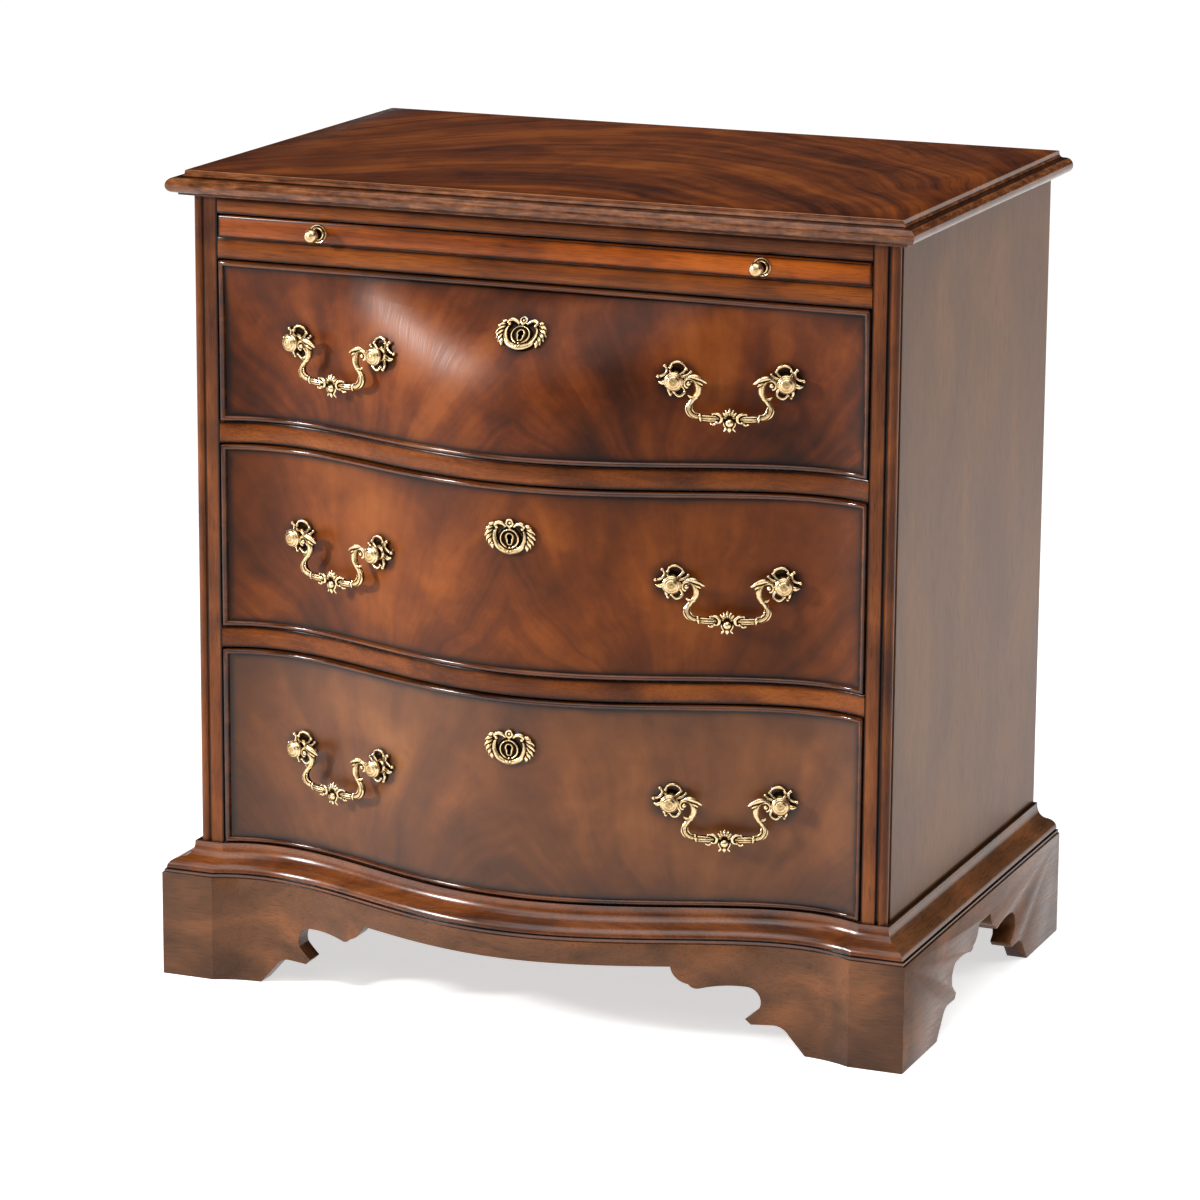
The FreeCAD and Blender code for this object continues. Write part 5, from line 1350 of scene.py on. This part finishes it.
# %% [markdown]
# The posts and the slide's knobs are turned, so they are lofts of circles: a shank with
# a nut inside the drawer, a waisted neck and a domed head.

# %% Turned brass
def turned(name, profile, sides=32):
    """A solid of circles from (reach, radius) pairs in millimetres, along z."""
    rings = []
    for reach, radius in profile:
        ring = []
        for turn in turns(sides):
            ring.append((radius * math.cos(turn) * MM, radius * math.sin(turn) * MM, reach * MM))
        rings.append(ring)
    piece = clean(new_piece(name, *loft(rings)), 50)
    mesh = mark_hollows(piece.data, 4, 0.35 * MM, even=0.36)
    mesh.materials.append(BRASS)
    bpy.data.objects.remove(piece)
    return mesh


def dome(centre, radius, depth, start, end, rings, groove=0.05, steps=9):
    """A flattened, ringed ball between two latitudes, as (reach, radius) pairs."""
    pairs = []
    for share in spread(0, 1, rings * steps + 1):
        turn = math.radians(start + (end - start) * share)
        scale = 1 - groove * (0.5 - 0.5 * math.cos(math.tau * rings * share))
        pairs.append((centre + depth * scale * math.sin(turn), max(radius * scale * math.cos(turn), 0.05)))
    return pairs


NUT_GAP, NUT_THICKNESS, NUT_RADIUS = 1.4, 4.0, 5.0


def post_mesh(inside):
    """A post whose nut sits behind a front of that thickness."""
    nut = -inside - NUT_GAP
    profile = [(nut - NUT_THICKNESS - 1, 0.1), (nut - NUT_THICKNESS - 1, 2.5), (nut - NUT_THICKNESS, 2.5)]
    profile += [(nut - NUT_THICKNESS, NUT_RADIUS - 0.6), (nut - NUT_THICKNESS + 0.6, NUT_RADIUS)]
    profile += [(nut - 0.6, NUT_RADIUS), (nut, NUT_RADIUS - 0.6), (nut, 2.5), (2.0, 2.5), (2.0, 5.4)]
    profile += [(3.2, 6.0), (4.4, 5.4), (5.2, 4.4), (7.0, 4.0), (8.8, 4.2), (9.9, 4.8)]
    return turned("post", profile + dome(13.2, 8.4, 4.6, -46, 90, 5))


KNOB = [(-14, 0.1), (-14, 2.5), (0, 2.5), (0, 8.6), (1.0, 8.6), (1.6, 8.1)]
KNOB += [(1.4, 7.2), (0.9, 6.8), (0.9, 6.2), (2.0, 6.0), (2.8, 5.4), (3.0, 4.6)]
KNOB += [(4.6, 3.9), (7.0, 3.6), (10.0, 4.0), (11.2, 4.6)]
KNOB_MESH = turned("knob", KNOB + dome(15.0, 6.7, 5.2, -44, 90, 3, 0.03))
print("knob:", len(KNOB_MESH.polygons), "faces")

# %% [markdown]
# The escutcheon guards the keyhole: a dished boss with a bright rim, a polished crescent
# under it, an eyelet between two scrolls on top, and a spray of leaves down each side.
# The boss is a closed loft of loops between the keyhole and its rim, so the hole is real.

# %% Escutcheon casting
BOSS_DROP = 1.8
BOSS_RADII = (9.2, 8.8)
BOSS_STEPS = [(1.5, 0.1), (1.5, 0.9), (1.06, 0.9), (1.0, 2.2), (0.94, 3.2)]
BOSS_STEPS += [(0.85, 3.4), (0.72, 2.7), (0.4, 2.5), (0.0, 2.9), (0.0, 0.1)]
CRESCENT = [(-13.2, 6.4, 1.4, 1.0), (-14.6, 1.6, 1.8, 1.7), (-13.6, -4.6, 2.0, 2.2), (-9.4, -10.4, 2.1, 2.5)]
CRESCENT += [(0, -13.2, 2.2, 2.8)] + [(-x, y, w, radius) for x, y, w, radius in CRESCENT[::-1]]
SIDE_SCROLL = [(3.6, 8.8, 1.6, 1.0), (6.8, 11.6, 2.4, 1.6), (10.8, 12.4, 2.8, 1.9)]
SIDE_SCROLL += [(13.6, 10.2, 2.6, 1.6), (12.6, 7.8, 2.2, 1.2)]
LEAF_STEM = [(12.6, 9.6, 1.0, 1.6), (15.4, 3.0, 1.0, 2.0), (15.0, -5.0, 1.0, 1.4)]
BRIDGE = [(7.6, -1.0, 0.6, 0.9), (11.0, -1.2, 0.8, 0.8), (14.0, -1.0, 0.6, 0.9)]
LEAVES = [
    [(13.0, 10.8), (17.6, 10.4), (21.0, 8.2)],
    [(14.0, 9.0), (20.0, 7.0), (23.8, 3.4)],
    [(14.8, 6.6), (20.8, 2.8), (24.2, -1.6)],
    [(15.4, 3.6), (20.2, -1.4), (22.4, -6.2)],
    [(15.8, 0.6), (18.6, -5.0), (19.6, -9.8)],
    [(15.2, -3.0), (16.6, -8.2), (16.2, -12.4)],
]
LEAF_FORM = [(1.2, 0.9), (2.3, 1.9), (1.0, 0.5)]
RUFFLE = [(-2.6, -10.6, 2.2, 1.2), (0.0, -9.8, 2.4, 1.3), (2.6, -10.6, 2.2, 1.2)]
RUFFLE += [(-1.2, -12.6, 4.0, 1.0), (1.6, -12.4, 4.0, 1.0)]


def key_reach(turn):
    """How far the keyhole goes from the middle of its round part, in millimetres."""
    radius, slot = KEY_RADIUS / MM, KEY_SLOT / MM
    if math.sin(turn) > -0.2:
        return radius
    beside = KEY_FOOT * radius / max(abs(math.cos(turn)), 1e-6)
    return max(radius, min(-slot / math.sin(turn), beside))


def boss_loop(share, w, count=60):
    loop = []
    for turn in turns(count):
        inner = Vector((math.cos(turn), math.sin(turn), 0)) * key_reach(turn)
        outer = Vector((BOSS_RADII[0] * math.cos(turn), BOSS_RADII[1] * math.sin(turn) - BOSS_DROP, 0))
        loop.append(inner.lerp(outer, share) + Vector((0, 0, w)))
    return loop


def escutcheon_mesh():
    casting = bmesh.new()
    add_loft(casting, [boss_loop(share, w) for share, w in BOSS_STEPS], closed_path=True)
    strand(casting, CRESCENT, 0.8, 14)
    for side in (-1, 1):
        strand(casting, mirrored_points(SIDE_SCROLL, side))
        ball(casting, side * 12.2, 7.9, 2.4, 1.6)
        for leaf in LEAVES:
            strand(casting, [(side * x, y, w, radius) for (x, y), (w, radius) in zip(leaf, LEAF_FORM)], 0.7)
        strand(casting, mirrored_points(LEAF_STEM, side), 0.6)
        strand(casting, mirrored_points(BRIDGE, side), 0.7)
    hoop(casting, 0, 12.4, 2.2, 3.0, 1.0)
    ball(casting, 0, 12.4, 1.8, 1.5)
    strand(casting, [(0, 9.6, 1.6, 1.4), (0, 7.6, 1.6, 1.6), (0, 5.8, 1.4, 1.4)], 0.8)
    for x, y, w, radius in RUFFLE:
        ball(casting, x, y, w, radius)
    return poured(casting, "escutcheon_casting", 0.4, (0.8 * MM, 1.9 * MM))


ESCUTCHEON_MESH = escutcheon_mesh()
print("escutcheon:", len(ESCUTCHEON_MESH.polygons), "faces")

# %% [markdown]
# The brass sits square to the curved face, so each fitting needs a point on the face and
# three axes: along it, up it and out of it. The slope of the curve gives them. A small
# Geometry Nodes tree then sets the fittings: it takes one point for each, turns an
# instance to the axes stored there, and chooses between two patterns.

# %% Places on the drawer faces
POST_SPACING, HANDLE_OFFSET, PIVOT_REACH = 98 * MM, 186 * MM, 12 * MM
HANDLE_SHARE = 0.53
ROSE_RADIUS, ROSE_GAP, PLATE_GAP = 16.5 * MM, 0.3 * MM, 0.1 * MM


def ahead(x):
    u2 = (x / HALF_OPENING) ** 2
    return BOW * (1 - u2) * (1 - RATIO * u2)


def slope(x):
    u = x / HALF_OPENING
    return BOW * (4 * RATIO * u ** 3 - 2 * (1 + RATIO) * u) / HALF_OPENING


def bend(x):
    return BOW * (12 * RATIO * (x / HALF_OPENING) ** 2 - 2 * (1 + RATIO)) / HALF_OPENING ** 2


def swell_place(z):
    bottom, top = CORE_SPANS[1]
    return (z - bottom) / (top - bottom)


def face_share(number, z):
    return 1 - swell_place(z) ** 3 if number == 1 else 1.0


def face_axes(number, x, z):
    """A point on a drawer face, with the axes along, up and out."""
    part = face_share(number, z)
    rise = -3 * swell_place(z) ** 2 / (CORE_SPANS[1][1] - CORE_SPANS[1][0]) if number == 1 else 0.0
    along = Vector((1, -part * slope(x), 0)).normalized()
    out = along.cross(Vector((0, -rise * ahead(x), 1))).normalized()
    return Vector((x, Y_STILE - part * ahead(x), z)), along, out.cross(along), out


def axes_matrix(point, along, up, out):
    return Matrix.Translation(point) @ Matrix((along, up, out)).transposed().to_4x4()


def handle_axes(number, side):
    """The middle of a handle on its chord, with the axes along and out."""
    bottom, top = FACE_SPANS[number]
    z = bottom + HANDLE_SHARE * (top - bottom)
    part = face_share(number, z)
    reach = POST_SPACING / 2 * math.cos(math.atan(part * slope(HANDLE_OFFSET)))
    ends = []
    for x in (side * HANDLE_OFFSET - reach, side * HANDLE_OFFSET + reach):
        ends.append(Vector((x, Y_STILE - part * ahead(x), z)))
    along = (ends[1] - ends[0]).normalized()
    return (ends[0] + ends[1]) / 2, along, Vector((along.y, -along.x, 0))


def fittings_tree():
    tree, given = new_tree("fittings", objects=("First Pattern", "Second Pattern"))
    turn = add(tree, "GeometryNodeInputNamedAttribute", {"Name": "turn"}, data_type="FLOAT_VECTOR").outputs[0]
    turn = add(tree, "FunctionNodeEulerToRotation", {0: turn}).outputs[0]
    choice = add(tree, "GeometryNodeInputNamedAttribute", {"Name": "pattern"}, data_type="FLOAT").outputs[0]
    second = calc(tree, "GREATER_THAN", choice, 0.5)
    first = calc(tree, "LESS_THAN", choice, 0.5)
    join = add(tree, "GeometryNodeJoinGeometry")
    for key, chosen in (("First Pattern", first), ("Second Pattern", second)):
        source = add(tree, "GeometryNodeObjectInfo", {"Object": given[key], "As Instance": True})
        inputs = {"Points": given["Geometry"], "Selection": chosen, "Rotation": turn}
        inputs["Instance"] = source.outputs["Geometry"]
        placed = add(tree, "GeometryNodeInstanceOnPoints", inputs)
        tree.links.new(placed.outputs[0], join.inputs[0])
    end_tree(tree, join.outputs[0], given["Finish"])
    return tree


FITTINGS = fittings_tree()
print("fittings tree:", len(FITTINGS.nodes), "nodes")

# %% [markdown]
# Now the brass goes on. Posts and roses of one drawer are single pieces, as in the CAD
# frame, and each bail is a piece of its own because it swings. On the top drawer the
# wood behind the inner posts is thicker than behind the outer ones, so these two have
# shanks of different length.

# %% Handles, escutcheons and knobs
def set_fittings(name, places, patterns, body, node):
    """Places are (matrix, pattern number) pairs; patterns are meshes."""
    piece = new_piece(name, [matrix.translation for matrix, _ in places], [])
    angles = [angle for matrix, _ in places for angle in matrix.to_euler()]
    piece.data.attributes.new("turn", "FLOAT_VECTOR", "POINT").data.foreach_set("vector", angles)
    numbers = [float(number) for _, number in places]
    piece.data.attributes.new("pattern", "FLOAT", "POINT").data.foreach_set("value", numbers)
    sources = []
    for i in (0, -1):
        source = bpy.data.objects.new("pattern", patterns[i])
        scene.collection.objects.link(source)
        sources.append(source)
    run_tree(piece, FITTINGS, First_Pattern=sources[0], Second_Pattern=sources[1], Finish=BRASS)
    for source in sources:
        bpy.data.objects.remove(source)
    return settle(piece, body, "brass", node)


def set_casting(name, mesh, matrix, body, node):
    piece = bpy.data.objects.new(name, mesh.copy())
    piece.data.transform(matrix)
    scene.collection.objects.link(piece)
    return settle(piece, body, "brass", node)


def wood_behind(number, base):
    """How thick the front is behind a post, in millimetres."""
    if number != 1:
        return FRONT_THICKNESS / MM
    t = swell_place(base.z)
    excess = (3 * t ** 2 - 2 * t ** 3 - t ** 3) * ahead(base.x)
    return (FRONT_THICKNESS + max(0.0, excess)) / MM


UP = Vector((0, 0, 1))
for number in CORE_SPANS:
    posts, roses, shanks = [], [], {}
    for side, name in ((-1, "left"), (1, "right")):
        middle, along, out = handle_axes(number, side)
        bail = axes_matrix(middle + out * PIVOT_REACH, along, UP, out)
        node = f"drawer_{number}_{name}_bail"
        set_casting(f"{node}_finished", BAIL_MESH, bail, node, node)
        for way in (-1, 1):
            base = middle + along * way * POST_SPACING / 2
            outer = int(way == side)
            shanks[outer] = post_mesh(wood_behind(number, base))
            posts.append((axes_matrix(base, along, UP, out), outer))
            point, across, rise, normal = face_axes(number, base.x, base.z)
            lift = ROSE_GAP + max(0.0, bend(base.x)) * ROSE_RADIUS ** 2 / 2
            roses.append((axes_matrix(point + normal * lift, across, rise, normal), int(way > 0)))
    body = f"drawer_{number}"
    set_fittings(f"{body}_handle_posts_finished", posts, [shanks[0], shanks[1]], body, f"{body}_handle_posts")
    set_fittings(f"{body}_handle_roses_finished", roses, [ROSES[-1], ROSES[1]], body, f"{body}_handle_roses")
    point, across, rise, normal = face_axes(number, 0.0, KEYHOLES[number])
    plate = axes_matrix(point + normal * PLATE_GAP, across, rise, normal)
    set_casting(f"{body}_escutcheon_finished", ESCUTCHEON_MESH, plate, body, f"{body}_escutcheon")
KNOB_HEIGHT = SLIDE_BOTTOM + SLIDE_THICKNESS / 2
KNOB_OFFSET = 210.5 * MM
knobs = []
for x in (-KNOB_OFFSET, KNOB_OFFSET):
    base = Vector((x, Y_STILE, KNOB_HEIGHT))
    knobs.append((axes_matrix(base, Vector((1, 0, 0)), UP, Vector((0, -1, 0))), 0))
set_fittings("slide_knobs_finished", knobs, [KNOB_MESH], "slide", "slide_knobs")

# %% [markdown]
# What is left is the inside: the linings of the drawers, the boards of the case and the
# locks. Their CAD shapes are already right, so they only take a finish.

# %% Inside and locks
STEEL_STOPS = [(0.3, 0.07, 0.055, 0.045), (0.5, 0.24, 0.225, 0.205), (0.7, 0.38, 0.37, 0.35)]


def old_steel():
    material, tree, place = blank_finish("old_steel")
    spots = clouds(tree, place, 160.0, 4, 0.65)
    scratches = clouds(tree, stretched(tree, place, (60, 900, 900)), 1.0, 2)
    roughness = ramp(tree, scratches, 0.3, 0.7, 0.32, 0.55)
    shader = wired(material, palette(tree, spots, STEEL_STOPS), roughness, spots, 0.2, 0.3 * MM)
    shader.inputs["Metallic"].default_value = 1.0
    return material


LOCK_STEEL = old_steel()
BACK_WOOD = straight_mahogany("back_panel_wood", 2, PLAIN_BROWN, 4.4, gloss=(0.5, 0.65))
SLIDE_BOARD_WOOD = straight_mahogany("slide_board_mahogany", 0, ORANGE_BROWN, 17.3, gloss=(0.28, 0.4))
FINISHES = {"back_panel": BACK_WOOD, "slide_board": SLIDE_BOARD_WOOD}
for node in ("bottom_board", "drawer_runners", "drawer_guides", "back_plinth", "foot_blocks"):
    FINISHES[node] = CARCASE_WOOD
for number in CORE_SPANS:
    FINISHES[f"drawer_{number}_sides"] = LINING_WOOD
    FINISHES[f"drawer_{number}_bottom"] = LINING_WOOD
    FINISHES[f"drawer_{number}_back"] = LINING_BACK_WOOD
    FINISHES[f"drawer_{number}_lock_case"] = LOCK_STEEL
    FINISHES[f"drawer_{number}_lock_bolt"] = LOCK_STEEL
for node, finish in FINISHES.items():
    NODES[node].data.materials.clear()
    NODES[node].data.materials.append(finish)
print("inner nodes finished:", len(FINISHES))
